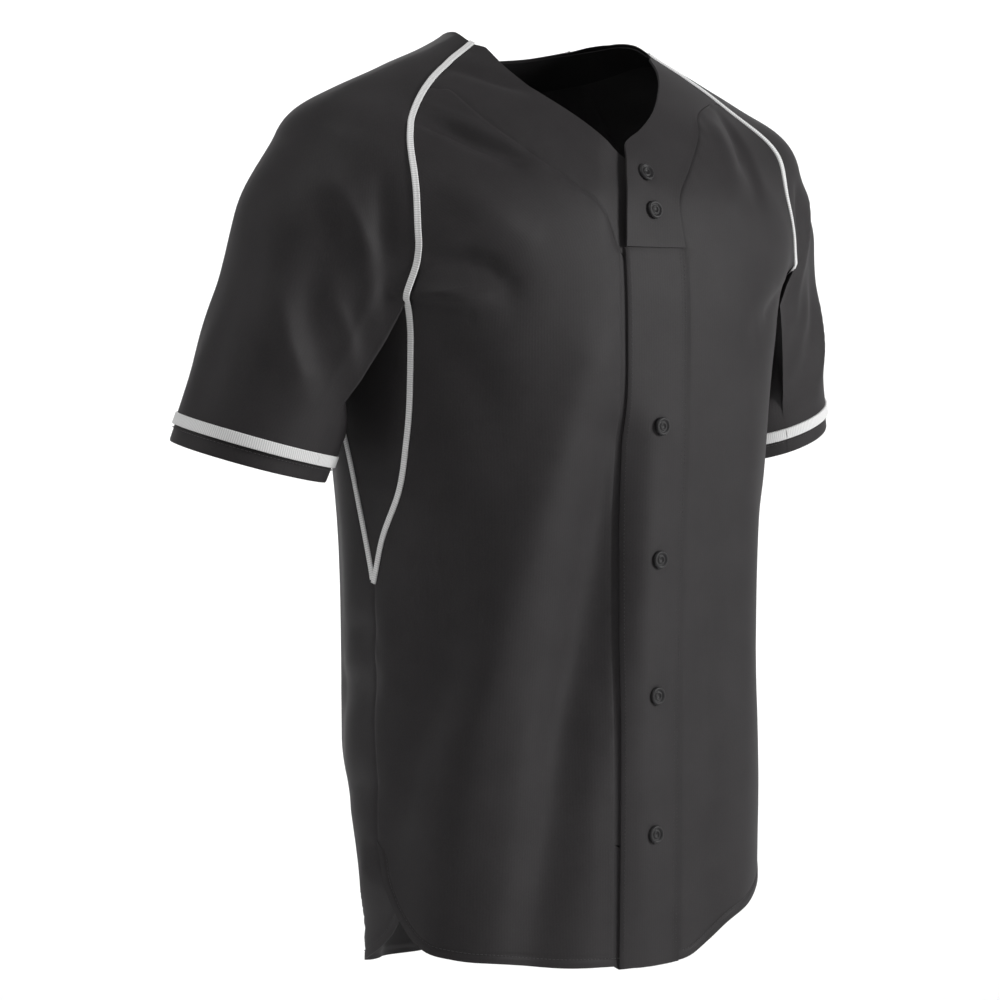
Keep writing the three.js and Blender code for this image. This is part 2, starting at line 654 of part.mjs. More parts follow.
// Lower placket: a strip folded double over the edge of the left front
function placket () {
  const hem = curve(HEM_LEFT, 'z', 'angle')
  const columns = [PLACKET_FREE, ...UNDERLAP_COLUMNS.map((x) => -x).reverse(), PLACKET_SEWN - SEAM_GAP]
  const level = [PLACKET_TOP, ...middleHeights.slice(1), ...lowerHeights.slice(1)]
  const rows = level.map((z) => columns.map((x) => onBody(frontAngle(x, z), z, PLACKET_PROUD)))
  steps(0, 1, HEM_STEPS).slice(1).forEach((t) => {
    rows.push(columns.map((x) => {
      const angle = frontAngle(x, mix(VENT_Z, hem(0), t))
      return onBody(angle, mix(VENT_Z, hem(Math.abs(angle)), t), PLACKET_PROUD)
    }))
  })
  return wall('placket', gridNet(rows), DOUBLE_CLOTH, CLOTH_FINISH)
}

// Back panel. Its rows run from the left side round to the right.
function backPanel () {
  const hem = curve(HEM_BACK, 'z', 'angle')
  const columns = 20
  const across = (edge, u) => mix(edge, 360 - edge, u)
  const fromMiddle = (angle) => angle > 180 ? 360 - angle : angle
  const tuck = (angle, z) => {
    const side = fromMiddle(angle)
    const reach = Math.max(smooth((side - SIDE_ANGLE) / 30) * mix(1, 0.45, smooth((side - 140) / 40)),
      0.5 * smooth((VENT_Z - z) / 80))
    const vent = z < VENT_Z ? 2.6 + 6 * smooth((VENT_Z - z) / 60) : 0
    const beside = smooth(1 - (side - SIDE_ANGLE) / 14)
    return -Math.max(TAIL_TUCK * smooth((TUCK_TOP - z) / (TUCK_TOP - HEM_BACK[3].z)) * reach,
      vent * beside)
  }
  const place = (angle, z) => onBody(angle, z, tuck(angle, z))
  const rows = []
  backHeights.forEach((z, i) => {
    const edge = backRaglan(z)
    const fade = 1 - i / (backHeights.length - 1)
    rows.push(range(columns).map((u) => {
      const angle = across(edge, u)
      return place(angle, z + (neckBack(fromMiddle(angle)) - neckBack(edge)) * fade)
    }))
  })
  gussetHeights.slice(1).forEach((z) => {
    const edge = z > TIP_Z ? gussetBack(z) : SIDE_ANGLE + 0.3
    rows.push(range(columns).map((u) => place(across(edge, u), z)))
  })
  lowerHeights.slice(1).forEach((z) => {
    rows.push(range(columns).map((u) => place(across(SIDE_ANGLE, u), z)))
  })
  steps(0, 1, HEM_STEPS).slice(1).forEach((t) => {
    const edge = SIDE_ANGLE + 0.4 - TAIL_OVERLAP * smooth((t - 0.2) / 0.8)
    rows.push(range(columns).map((u) => {
      const angle = across(edge, u)
      return place(angle, mix(VENT_Z, hem(fromMiddle(angle)), t))
    }))
  })
  return wall('back', gridNet(rows.map((row) => insetEnds(row))), CLOTH, CLOTH_FINISH)
}

// Underarm gusset: a wedge between the front, the back and the sleeve, with its tip on the side seam
function gusset (which) {
  const sign = sideSign[which]
  const heights = gussetHeights.slice(0, -1)
  const rows = heights.map((z) => insetEnds(range(6).map((u) =>
    onBody(sign * mix(gussetFront[which](z), gussetBack(z), u), z))))
  return wall(`gusset_${which}`, gridNet(rows), CLOTH, CLOTH_FINISH, which === 'right')
}

// Sleeve rings. Above the armpit they span from the front raglan seam over the arm to the back one,
// in planes that fan round from the armpit to the neck; below it they close round the arm.
const FAN = curves([
  { t: 0, lift: 42, push: 0 },
  { t: 0.1, lift: 52, push: 0 },
  { t: 0.3, lift: 58, push: 4 },
  { t: 0.5, lift: 52, push: 12 },
  { t: 0.7, lift: 40, push: 20 },
  { t: 0.85, lift: 29, push: 26 },
  { t: 1, lift: 19, push: 30 }
], 't')
const OUTER_COLUMNS = 17
const INNER_COLUMNS = 6
const TUBE_STEPS = 6

const sleeveFold = (p) => foldHeight(sleeveFolds, vector(Math.abs(p.x), p.y, p.z))

function sleeveForm (which) {
  const sign = sideSign[which]
  const side = ARMS[which]
  const mirror = (v) => vector(sign * v.x, v.y, v.z)
  const fan = frontHeights.map((z, i) => {
    const t = i / (frontHeights.length - 1)
    const backZ = backHeights[i]
    const front = onBody(sign * frontRaglan[which](z), z)
    const back = onBody(sign * backRaglan(backZ), backZ)
    if (i === 0) {
      const angles = steps(frontRaglan[which](z), backRaglan(backZ), OUTER_COLUMNS)
      return angles.map((angle) => onBody(sign * angle, neckBack(angle)))
    }
    const chord = back.p.clone().sub(front.p).normalize()
    const lift = radians(FAN.lift(t))
    const rise = vector(sign * Math.cos(lift), 0, Math.sin(lift))
    rise.addScaledVector(chord, -rise.dot(chord)).normalize()
    const centre = front.p.clone().add(back.p).multiplyScalar(0.5).addScaledVector(rise, FAN.push(t))
    const turn = (place) => {
      const offset = place.p.clone().sub(centre)
      return Math.atan2(offset.dot(chord), offset.dot(rise))
    }
    return range(OUTER_COLUMNS).map((u) => {
      if (u === 0) return front
      if (u === 1) return back
      const angle = mix(turn(front), turn(back), u)
      const ray = rise.clone().multiplyScalar(Math.cos(angle)).addScaledVector(chord, Math.sin(angle))
      const hit = cast(wornDepth, centre, ray, 220)
      const way = gradient(wornDepth, hit)
      const seamward = smooth(Math.min(u, 1 - u) / 0.12)
      const raised = way.clone().multiplyScalar(seamward * sleeveFold(hit))
      return { p: hit.addScaledVector(way, foldHeight(folds, hit)).add(raised), raised, way, seamward }
    })
  }).reverse()
  const armpit = fan[0]
  const underarm = range(INNER_COLUMNS).slice(1, -1).map((u) => {
    const edge = onBody(sign * mix(gussetBack(ARMPIT_Z), gussetFront[which](ARMPIT_Z), u), ARMPIT_Z + 0.4)
    return { p: edge.p.addScaledVector(edge.n, 0.45) }
  })
  const rim = [...armpit, ...underarm]
  const start = mirror(side.start)
  const axis = mirror(side.axis)
  const out = mirror(side.out)
  const fore = mirror(side.fore)
  const rimAlong = 103
  const section = (along, turn) => {
    const across = Math.abs(Math.cos(turn)) / arm.across(along)
    const deep = Math.abs(Math.sin(turn)) / arm.deep(along)
    const radius = Math.pow(Math.pow(across, ARM_POWER) + Math.pow(deep, ARM_POWER), -1 / ARM_POWER)
    return start.clone().addScaledVector(axis, along)
      .addScaledVector(out, radius * Math.cos(turn)).addScaledVector(fore, radius * Math.sin(turn))
  }
  const turns = rim.map((place) => {
    const offset = place.p.clone().sub(start)
    offset.addScaledVector(axis, -offset.dot(axis))
    return Math.atan2(offset.dot(fore), offset.dot(out))
  })
  // The rings start on the rim as it is without the sleeve's own folds, which they add themselves
  const offsets = rim.map((place, i) =>
    place.p.clone().sub(place.raised ?? vector(0, 0, 0)).sub(section(rimAlong, turns[i])))
  const tubeRow = (along, lift = 0) => {
    const t = (along - rimAlong) / (side.length - rimAlong)
    const fade = 1 - smooth(t / 0.75)
    return turns.map((turn, i) => {
      const drop = side.outDrop * Math.cos(turn) + side.frontDrop * Math.sin(turn)
      const here = along + drop * smooth(t)
      const radial = section(here, turn).sub(start.clone().addScaledVector(axis, here)).normalize()
      const point = section(here, turn).addScaledVector(offsets[i], fade).addScaledVector(radial, lift)
      const { way = radial, seamward = 0 } = rim[i]
      const settled = mix(seamward, 1, smooth(t / 0.25)) * smooth((1 - t) / 0.3)
      const raise = way.clone().lerp(radial, smooth(t / 0.25)).normalize()
      point.addScaledVector(raise, sleeveFold(point) * settled)
      const clear = mix(0.5, SLEEVE_CLEAR, smooth(t / 0.22)) + lift
      const depth = bodyDepth(point)
      if (depth < clear) point.addScaledVector(gradient(bodyDepth, point), clear - depth)
      return { p: point }
    })
  }
  return { fan, tubeRow, rimAlong, end: side.length }
}

function sleeve (which, form) {
  const braidFrom = form.end - CUFF_BAND - CUFF_BRAID.width
  const tube = [braidFrom + CUFF_BRAID.width / 2,
    ...steps(braidFrom, form.rimAlong, TUBE_STEPS).slice(0, -1)].map((along) => form.tubeRow(along))
  const rim = form.tubeRow(form.rimAlong)
  const open = form.fan.map((row, i) => {
    if (i > 0) return insetEnds(row)
    const middle = row[Math.floor(row.length / 2)]
    return row.map((place, j) => j % (row.length - 1) === 0 ? drawBack(place, middle, 0.5) : place)
  })
  const hole = Array.from({ length: INNER_COLUMNS - 1 }, () => null)
  const first = [...open[0], ...rim.slice(OUTER_COLUMNS + 1)]
  const rows = [...tube, first, ...open.slice(1).map((row) => [...row, ...hole])]
  return wall(`sleeve_${which}`, gridNet(rows, true), CLOTH, CLOTH_FINISH, which === 'left')
}

function cuff (which, form) {
  const braidTo = form.end - CUFF_BAND
  const seamAt = braidTo - CUFF_BRAID.width / 2 + SEAM_GAP
  const band = [seamAt, braidTo, form.end].map((along) => form.tubeRow(along, -CUFF_INSET))
  const braidOut = CUFF_BRAID.lift + CUFF_BRAID.height
  const braid = steps(braidTo - CUFF_BRAID.width, braidTo, 2).map((along) => form.tubeRow(along, braidOut))
  return [
    wall(`cuff_band_${which}`, gridNet(band, true), CLOTH, CLOTH_FINISH, which === 'right'),
    wall(`cuff_braid_${which}`, gridNet(braid, true), CUFF_BRAID.height, BRAID_FINISH, which === 'right')
  ]
}

// A trim laid along a line of places: a low rounded bar across it. A place may lift it further.
function trim (name, line) {
  const half = PIPING.width / 2
  const low = PIPING.lift
  const high = PIPING.lift + PIPING.height
  const shoulder = high * 0.85
  const profile = [[-half, low], [half, low], [half * 0.8, shoulder], [0, high], [-half * 0.8, shoulder]]
  const points = line.flatMap((place, i) => {
    const before = line[Math.max(i - 1, 0)].p
    const after = line[Math.min(i + 1, line.length - 1)].p
    const along = after.clone().sub(before).normalize()
    const across = along.clone().cross(place.n).normalize()
    return profile.map(([u, v]) => place.p.clone().addScaledVector(across, u)
      .addScaledVector(place.n, v + (place.rise ?? 0)))
  })
  const sides = profile.length
  const triangles = []
  for (let i = 0; i < line.length - 1; i += 1) {
    for (let j = 0; j < sides; j += 1) {
      const a = i * sides + j
      const b = i * sides + (j + 1) % sides
      triangles.push([a, b + sides, b], [a, a + sides, b + sides])
    }
  }
  const end = (line.length - 1) * sides
  for (let j = 1; j < sides - 1; j += 1) {
    triangles.push([0, j, j + 1], [end, end + j + 1, end + j])
  }
  const geometry = new THREE.BufferGeometry()
  geometry.setAttribute('position',
    new THREE.Float32BufferAttribute(points.flatMap((p) => [p.x, p.y, p.z]), 3))
  geometry.setIndex(triangles.flat())
  geometry.computeVertexNormals()
  const mesh = new THREE.Mesh(geometry, BRAID_FINISH)
  mesh.name = name
  return mesh
}

function piping (which) {
  const sign = sideSign[which]
  const line = (angleAt, heights, top) => heights.map((z) => ({
    ...onBody(sign * angleAt(z), z), rise: top ? ARMPIT_RISE * smooth((ARMPIT_Z + 40 - z) / 36) : 0
  }))
  const downTo = (heights, low) => [...heights.filter((z) => z > low + 2), low]
  const front = downTo(frontHeights, ARMPIT_Z + (which === 'left' ? 52 : 3))
  const back = downTo(backHeights, ARMPIT_Z + 34)
  const down = [ARMPIT_Z - 5, ...gussetHeights.slice(1, -1), TIP_Z + 4]
  const up = [ARMPIT_Z - 5, ...gussetHeights.slice(1, -1).filter((z) => z > TIP_Z + 40)]
  return [
    trim(`piping_front_${which}`, line(frontRaglan[which], front, true)),
    trim(`piping_back_${which}`, line(backRaglan, back, true)),
    trim(`piping_wedge_front_${which}`, line(gussetFront[which], down)),
    trim(`piping_wedge_back_${which}`, line(gussetBack, up))
  ]
}

// Facing of the same cloth inside the back of the neck, from one front raglan seam to the other
function neckFacing () {
  const rows = range(3).map((v) => range(30).map((u) => {
    const angle = mix(FACING_END, 360 - FACING_END, u)
    const side = angle > 180 ? 360 - angle : angle
    const top = neckBack(side)
    const slope = gradient(formDepth, bareBody(angle, top - 8))
    const steep = Math.hypot(slope.x, slope.y)
    return onBody(angle, top - 1 - v * FACING_WIDTH * steep, -CLOTH - 1.4)
  }))
  return wall('neck_facing', gridNet(rows), 1, INSIDE_FINISH)
}

// Buttons: round, with a raised rim and a sunk middle, standing on the placket
function button (z, i) {
  const { radius, rim, well, wellRadius } = BUTTON
  const profile = [[0, 0], [radius - 0.8, 0], [radius, 0.9], [radius - 0.6, rim], [wellRadius + 0.8, rim],
    [wellRadius, well], [0, well]].map(([r, h]) => new THREE.Vector2(r, h))
  const mesh = new THREE.Mesh(new THREE.LatheGeometry(profile, 18), BUTTON_FINISH)
  const seat = onBody(frontAngle(0, z), z, PLACKET_PROUD + SEAM_GAP)
  mesh.position.copy(seat.p)
  mesh.quaternion.setFromUnitVectors(vector(0, 1, 0), seat.n)
  mesh.name = `button_${i + 1}`
  return mesh
}

for (const which of ['right', 'left']) {
  const form = sleeveForm(which)
  jersey.add(frontPanel(which), neckBand(which), gusset(which), sleeve(which, form), ...cuff(which, form),
    ...piping(which))
}
jersey.add(backPanel(), placket(), neckFacing(), ...BUTTON_HEIGHTS.map(button))

export default jersey
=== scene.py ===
import math

import bpy
import numpy as np
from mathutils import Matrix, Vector


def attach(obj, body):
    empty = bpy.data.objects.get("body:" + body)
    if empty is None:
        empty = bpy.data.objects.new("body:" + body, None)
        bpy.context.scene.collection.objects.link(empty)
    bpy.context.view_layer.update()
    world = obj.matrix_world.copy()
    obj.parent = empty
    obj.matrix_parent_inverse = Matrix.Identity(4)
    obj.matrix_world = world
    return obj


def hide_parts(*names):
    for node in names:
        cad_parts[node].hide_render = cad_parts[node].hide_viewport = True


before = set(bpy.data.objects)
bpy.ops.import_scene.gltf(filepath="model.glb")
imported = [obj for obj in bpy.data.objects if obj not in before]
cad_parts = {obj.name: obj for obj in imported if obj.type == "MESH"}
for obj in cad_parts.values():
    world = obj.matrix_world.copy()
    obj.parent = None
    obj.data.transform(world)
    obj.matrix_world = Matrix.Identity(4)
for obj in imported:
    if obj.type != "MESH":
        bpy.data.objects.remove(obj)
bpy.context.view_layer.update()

MM = 0.001

# The cut on a general figure
# The cloth hangs on nothing, so its form is worked out as a body and two sleeves that run softly
# into each other. Every panel below is a stretch of this one form, so that sewn edges meet.


def table(columns, *rows):
    return [dict(zip(columns.split(), row)) for row in rows]


BODY = table("z side front back front_power back_power",
             (20, 86, 38, 58, 1.6, 2.3), (0, 95, 44, 64, 1.5, 2.3), (-12, 119, 51, 70, 1.5, 2.2),
             (-28, 161, 62, 82, 1.5, 2.0), (-44, 195, 74, 95, 1.55, 1.9), (-60, 211, 87, 107, 1.7, 1.9),
             (-82, 223, 102, 121, 1.95, 2.1), (-100, 228, 112, 129, 2.15, 2.3),
             (-130, 231, 126, 139, 2.4, 2.4), (-165, 229, 134, 146, 2.6, 2.5),
             (-205, 218, 138, 147, 2.6, 2.5), (-245, 205, 139, 145, 2.6, 2.5),
             (-290, 197, 139, 141, 2.6, 2.45), (-340, 192, 138, 136, 2.6, 2.4),
             (-400, 188, 135, 130, 2.6, 2.4), (-500, 187, 131, 125, 2.6, 2.4),
             (-640, 187, 129, 124, 2.9, 2.4), (-770, 187, 128, 122, 2.9, 2.4))
ARM = table("along across deep", (0, 66.5, 71), (60, 79, 71), (120, 67.5, 70), (190, 66, 65), (262, 64, 62))
# A sleeve's axis runs from its top to its cuff, which hangs lower by its drops outside and in front
SLEEVES = {"right": {"sign": -1, "top": (194, 9, -112), "cuff": (281, 36, -346),
                     "out_drop": 10, "front_drop": 5},
           "left": {"sign": 1, "top": (197, 3, -113), "cuff": (268, 32, -333),
                    "out_drop": 0, "front_drop": 0}}
SHOULDER_CAP = 54.5    # rise of the ball of the shoulder above the top of the sleeve's axis
ARM_POWER = 2.1        # roundness of the sleeve's section
BLEND = 34             # how softly the sleeve runs into the body
ARMPIT_Z = -217
TIP_Z = -445           # tip of the underarm gusset, where the side seam starts
VENT_Z = -650          # top of the side vent


def curve(rows, column, key):
    """Smooth curve through a short table, with flat turns so that it never overshoots."""
    rows = sorted(rows, key=lambda row: row[key])
    keys = np.array([row[key] for row in rows], float)
    values = np.array([row[column] for row in rows], float)
    spans = np.diff(keys)
    steps = np.diff(values) / spans
    slopes = np.concatenate([steps[:1], np.zeros(len(values) - 2), steps[-1:]])
    inner = (steps[1:] * spans[:-1] + steps[:-1] * spans[1:]) / (spans[:-1] + spans[1:])
    slopes[1:-1] = np.where(steps[:-1] * steps[1:] <= 0, 0, inner)
    fine = np.linspace(keys[0], keys[-1], 1500)
    i = np.clip(np.searchsorted(keys, fine) - 1, 0, len(spans) - 1)
    t = (fine - keys[i]) / spans[i]
    line = ((2 * t**3 - 3 * t**2 + 1) * values[i] + (t**3 - 2 * t**2 + t) * spans[i] * slopes[i]
            + (3 * t**2 - 2 * t**3) * values[i + 1] + (t**3 - t**2) * spans[i] * slopes[i + 1])
    return lambda at: np.interp(at, fine, line)


def curves(rows, key):
    return {name: curve(rows, name, key) for name in rows[0] if name != key}


def mix(a, b, t):
    return a + (b - a) * t


def smooth(x):
    t = np.clip(x, 0, 1)
    return t * t * (3 - 2 * t)


def unit(v):
    return v / np.maximum(np.linalg.norm(v, axis=-1, keepdims=True), 1e-9)


def places(x, y, z):
    return np.stack(np.broadcast_arrays(x, y, z), -1).astype(float)


body = curves(BODY, "z")
arm = curves(ARM, "along")
for sleeve in SLEEVES.values():
    sleeve["start"] = np.array(sleeve["top"], float)
    reach = np.array(sleeve["cuff"], float) - sleeve["start"]
    sleeve["length"] = float(np.linalg.norm(reach))
    sleeve["axis"] = unit(reach)
    sleeve["out"] = unit(np.cross(sleeve["axis"], (0, 1, 0)))
    sleeve["out"] *= np.sign(sleeve["out"][0])
    sleeve["fore"] = unit(np.cross(sleeve["out"], sleeve["axis"]))
    sleeve["fore"] *= -np.sign(sleeve["fore"][1])


def body_depth(p):
    """Signed depth of places in the body: about zero on its surface and negative inside."""
    x, y, z = np.abs(p[..., 0]), p[..., 1], p[..., 2]
    depth = np.where(y < 0, body["front"](z), body["back"](z))
    power = np.where(y < 0, body["front_power"](z), body["back_power"](z))
    ratio = ((x / body["side"](z))**power + (np.abs(y) / depth)**power)**(1 / power)
    return np.hypot(x, y) * (1 - 1 / np.maximum(ratio, 1e-6))


def arm_depth(p):
    """The same for the sleeves, which end in a round cap over the ball of the shoulder."""
    depths = []
    for side in SLEEVES.values():
        offset = p * (side["sign"], 1, 1) - side["start"]
        along, across, fore = (offset @ side[way] for way in ("axis", "out", "fore"))
        above = np.minimum(along, 0)
        shares = (across / arm["across"](along), fore / arm["deep"](along), above / SHOULDER_CAP)
        ratio = sum(np.abs(share)**ARM_POWER for share in shares)**(1 / ARM_POWER)
        depths.append(np.sqrt(across**2 + fore**2 + above**2) * (1 - 1 / np.maximum(ratio, 1e-6)))
    return np.where(p[..., 0] < 0, *depths)


def blend(a, b):
    h = np.clip(0.5 + 0.5 * (b - a) / BLEND, 0, 1)
    return mix(b, a, h) - BLEND * h * (1 - h)


def worn_depth(p):
    return blend(body_depth(p), arm_depth(p))


def form_depth(p):
    """Body and sleeve above the armpit; below it the body is on its own, as the sleeve fades."""
    fade = 90 * smooth((ARMPIT_Z + 35 - p[..., 2]) / 50)
    return blend(body_depth(p), np.maximum(arm_depth(p), -60) + fade)


def outward(depth, p):
    slopes = [depth(p + 0.5 * axis) - depth(p - 0.5 * axis) for axis in np.eye(3)]
    return unit(np.stack(slopes, -1))


def cast(depth, start, way, reach=430, marches=44):
    """Outermost crossings of a surface on rays from places inside it."""
    start, way = np.broadcast_arrays(start, way)
    low = np.zeros(way.shape[:-1])
    for distance in np.linspace(0, reach, marches + 1)[1:]:
        low = np.where(depth(start + way * distance) < 0, distance, low)
    high = low + reach / marches
    for _ in range(16):
        middle = (low + high) / 2
        inside = depth(start + way * middle[..., None]) < 0
        low, high = np.where(inside, middle, low), np.where(inside, high, middle)
    return start + way * low[..., None]


# Folds that the cloth hangs in
# Each is a soft ridge (+) or trough (-) with a half width and a line of places. On the body a place is
# an angle from the middle of the front, + towards the wearer's left, and a height.
FOLD_COLUMNS = "width height line"
BODY_FOLDS = table(
    FOLD_COLUMNS,
    # Drapes from the right shoulder, and the hollow beside the right armpit
    (12, -5, [(-72, -72), (-62, -88), (-50, -105)]), (16, 4, [(-66, -118), (-57, -144), (-47, -169)]),
    (15, -6, [(-68, -190), (-58, -191), (-51, -204)]), (13, 4, [(-70, -219), (-61, -221), (-54, -226)]),
    (22, -5, [(-66, -245), (-58, -280), (-56, -310)]),
    # The long diagonal falls of the right front, down to the hem
    (26, 7, [(-28, -270), (-40, -361), (-47, -423), (-53, -486), (-61, -570), (-70, -745)]),
    (29, -17, [(-17, -338), (-22, -409), (-27, -489), (-33, -552), (-38, -638), (-44, -745)]),
    (24, 6, [(-5, -330), (-6, -480), (-5, -760)]),
    (22, -7, [(-64, -420), (-66, -518), (-74, -570), (-83, -656)]),
    (17, 3, [(-84, -457), (-82, -515), (-85, -560)]),
    # Small hollows behind the side seams
    (13, -4, [(-90, -481), (-103, -488)]), (15, -5, [(-90, -527), (-106, -536)]),
    (13, -4, [(-90, -606), (-104, -612)]), (15, -4, [(94, -470), (108, -500)]),
    (15, -4, [(92, -560), (106, -575)]),
    # The left front
    (11, -3, [(64, -72), (56, -100), (50, -132)]), (12, 2.5, [(56, -76), (47, -108), (40, -140)]),
    (18, -5, [(66, -215), (56, -222), (46, -238)]), (22, -3.5, [(22, -300), (25, -480), (26, -760)]),
    (30, 5, [(42, -330), (45, -520), (40, -760)]), (26, -5, [(62, -400), (66, -560), (60, -740)]),
    # The back: pulls from both armpits, and long falls
    (15, -4, [(118, -130), (132, -160), (146, -200)]), (15, -4, [(-118, -130), (-132, -165), (-147, -205)]),
    (18, 4.5, [(112, -190), (126, -232), (142, -258)]), (18, 4.5, [(-112, -195), (-125, -238), (-141, -262)]),
    (26, -5, [(104, -390), (110, -560), (112, -740)]), (26, -5, [(-112, -350), (-110, -540), (-116, -720)]),
    (30, 6, [(140, -250), (132, -480), (124, -750)]), (30, 6, [(-138, -260), (-134, -500), (-128, -750)]),
    (28, -5.5, [(160, -290), (152, -520), (148, -760)]),
    (28, -5.5, [(-158, -280), (-155, -500), (-148, -760)]),
    (32, 5.5, [(182, -330), (176, -560), (178, -760)]))
# Creases too narrow for the solids
CREASES = table(
    FOLD_COLUMNS,
    (7, -3.6, [(-75, -33), (-62, -42), (-51, -49)]),
    (7, -4.6, [(-73, -76), (-66, -85), (-59, -96), (-50, -107)]),
    (6, 2.6, [(-73, -66), (-63, -79), (-49, -99)]),
    (8, -3.4, [(-66, -188), (-59, -187), (-54, -191), (-50, -206)]),
    (5, 2.2, [(-71, -213), (-63, -214), (-55, -215)]), (5, -3, [(-71, -222), (-65, -224), (-59, -231)]),
    (7, -1.6, [(68, -60), (61, -90), (53, -126)]), (7, -1.2, [(63, -78), (56, -96), (48, -110)]),
    (6, -2, [(68, -205), (60, -212), (52, -226)]), (5, -2, [(122, -60), (134, -72), (148, -84)]),
    (5, -2, [(-123, -56), (-136, -70), (-150, -86)]), (6, -2, [(116, -150), (124, -176), (130, -206)]),
    (6, -2, [(-116, -146), (-125, -176), (-132, -212)]), (8, -1.2, [(-88, -512), (-98, -522), (-110, -526)]),
    (8, -1.2, [(88, -528), (98, -540), (112, -542)]))
# On a sleeve a place is its distance out from the middle of the body, its distance back and its height
SLEEVE_FOLDS = table(
    FOLD_COLUMNS,
    (12, 5, [(252, -45, -130), (241, -54, -159), (226, -56, -200), (218, -42, -258), (220, -30, -310)]),
    (10, -5, [(226, -68, -125), (221, -69, -158), (214, -60, -195)]),
    (17, -5, [(262, -40, -150), (262, -46, -200), (252, -46, -240)]),
    (12, 3.5, [(260, -45, -212), (248, -46, -238), (232, -36, -290)]),
    (13, 3.5, [(290, -22, -210), (288, -29, -255), (278, -33, -290)]),
    (15, -4.5, [(276, -36, -190), (274, -38, -230), (268, -40, -262)]),
    (14, 3, [(288, -10, -160), (298, -14, -212), (302, -16, -262)]),
    (16, -5, [(262, 84, -160), (252, 96, -240)]), (16, 4.5, [(290, 70, -180), (292, 78, -290)]),
    (13, 4.5, [(236, 92, -170), (228, 88, -240)]), (18, -3.5, [(320, 20, -220), (330, 30, -310)]),
    (4.5, 1.8, [(250, -45, -134), (241, -54, -159), (233, -57, -181), (226, -56, -200), (220, -51, -228),
                (217, -38, -266)]),
    (5, 1.2, [(259, -45, -212), (250, -46, -231), (242, -44, -252), (234, -38, -280)]),
    (4.5, 1.2, [(290, -20, -214), (289, -29, -250), (281, -33, -278)]),
    (5, 1.4, [(236, 94, -150), (228, 96, -196), (222, 90, -250)]))


def ray(angle):
    return places(np.sin(np.radians(angle)), -np.cos(np.radians(angle)), 0)


def bare_body(angle, z):
    return cast(form_depth, places(0, 0, z), ray(angle))


for fold in BODY_FOLDS + CREASES:
    fold["line"] = [bare_body(*place) for place in fold["line"]]
for fold in SLEEVE_FOLDS:
    fold["line"] = [np.array(place, float) for place in fold["line"]]


def fold_height(folds, p):
    """How far the folds lift places, each lower near its two ends."""
    total = np.zeros(p.shape[:-1])
    for fold in folds:
        nearest, along = np.full(p.shape[:-1], np.inf), np.zeros(p.shape[:-1])
        pieces = list(zip(fold["line"], fold["line"][1:]))
        for i, (start, end) in enumerate(pieces):
            t = np.clip((p - start) @ (end - start) / ((end - start) @ (end - start)), 0, 1)
            off = np.linalg.norm(p - start - t[..., None] * (end - start), axis=-1) / fold["width"]
            along = np.where(off < nearest, (i + t) / len(pieces), along)
            nearest = np.minimum(off, nearest)
        taper = 0.25 + 0.75 * np.sin(math.pi * mix(0.12, 0.88, along))
        total += fold["height"] * taper * np.exp(-nearest**2)
    return total


def sleeve_fold(p):
    return fold_height(SLEEVE_FOLDS, p * (np.sign(p[..., :1]) * (1, 0, 0) + (0, 1, 1)))


def on_body(angle, z, lift=0):
    """Places on the outside of the body, lifted if asked, and the way out of each."""
    angle, z = np.broadcast_arrays(np.asarray(angle, float), np.asarray(z, float))
    bare = bare_body(angle, z)
    way = outward(form_depth, bare)
    return bare + way * (fold_height(BODY_FOLDS + CREASES, bare) + lift)[..., None], way


def front_angle(x, z):
    """The angles of places on the front, from their distances from the middle."""
    x, z = np.broadcast_arrays(np.asarray(x, float), np.asarray(z, float))
    hit = cast(form_depth, places(x, 0, z), np.array([0.0, -1.0, 0.0]), reach=200, marches=20)
    return np.degrees(np.arctan2(x, -hit[..., 1]))


# The knit
# Smooth polyester double knit, piece-dyed charcoal and heat-set: flat, matt and slightly lustrous
# where it turns away from the eye, with fine upright ribs of stitches. Its tone is uneven in patches of
# about 40 mm and in fibres of about 1 mm.
CLOTH_THICK = 0.9
WALE = 2.6             # the real stitch ribs are 0.8 mm apart, too fine to show, so they are coarser


def rib_scale(spacing):
    """The scale that sets the bands of a wave texture this far apart."""
    return math.pi / 10 / (spacing * MM)


def linear(colour):
    parts = [int(colour[i:i + 2], 16) / 255 for i in (1, 3, 5)]
    return [c / 12.92 if c <= 0.04045 else ((c + 0.055) / 1.055)**2.4 for c in parts] + [1.0]


def add_node(tree, kind, settings=None, links=None):
    """Adds a node, sets its properties and sockets by name, and links its inputs."""
    node = tree.nodes.new("ShaderNode" + kind)
    for name, value in (settings or {}).items():
        if isinstance(name, int) or name in node.inputs.keys():
            node.inputs[name].default_value = value
        else:
            setattr(node, name, value)
    for name, source in (links or {}).items():
        tree.links.new(source, node.inputs[name])
    return node


def new_material(name):
    material = bpy.data.materials.new(name)
    material.use_nodes = True
    material.node_tree.nodes.clear()
    return material, material.node_tree


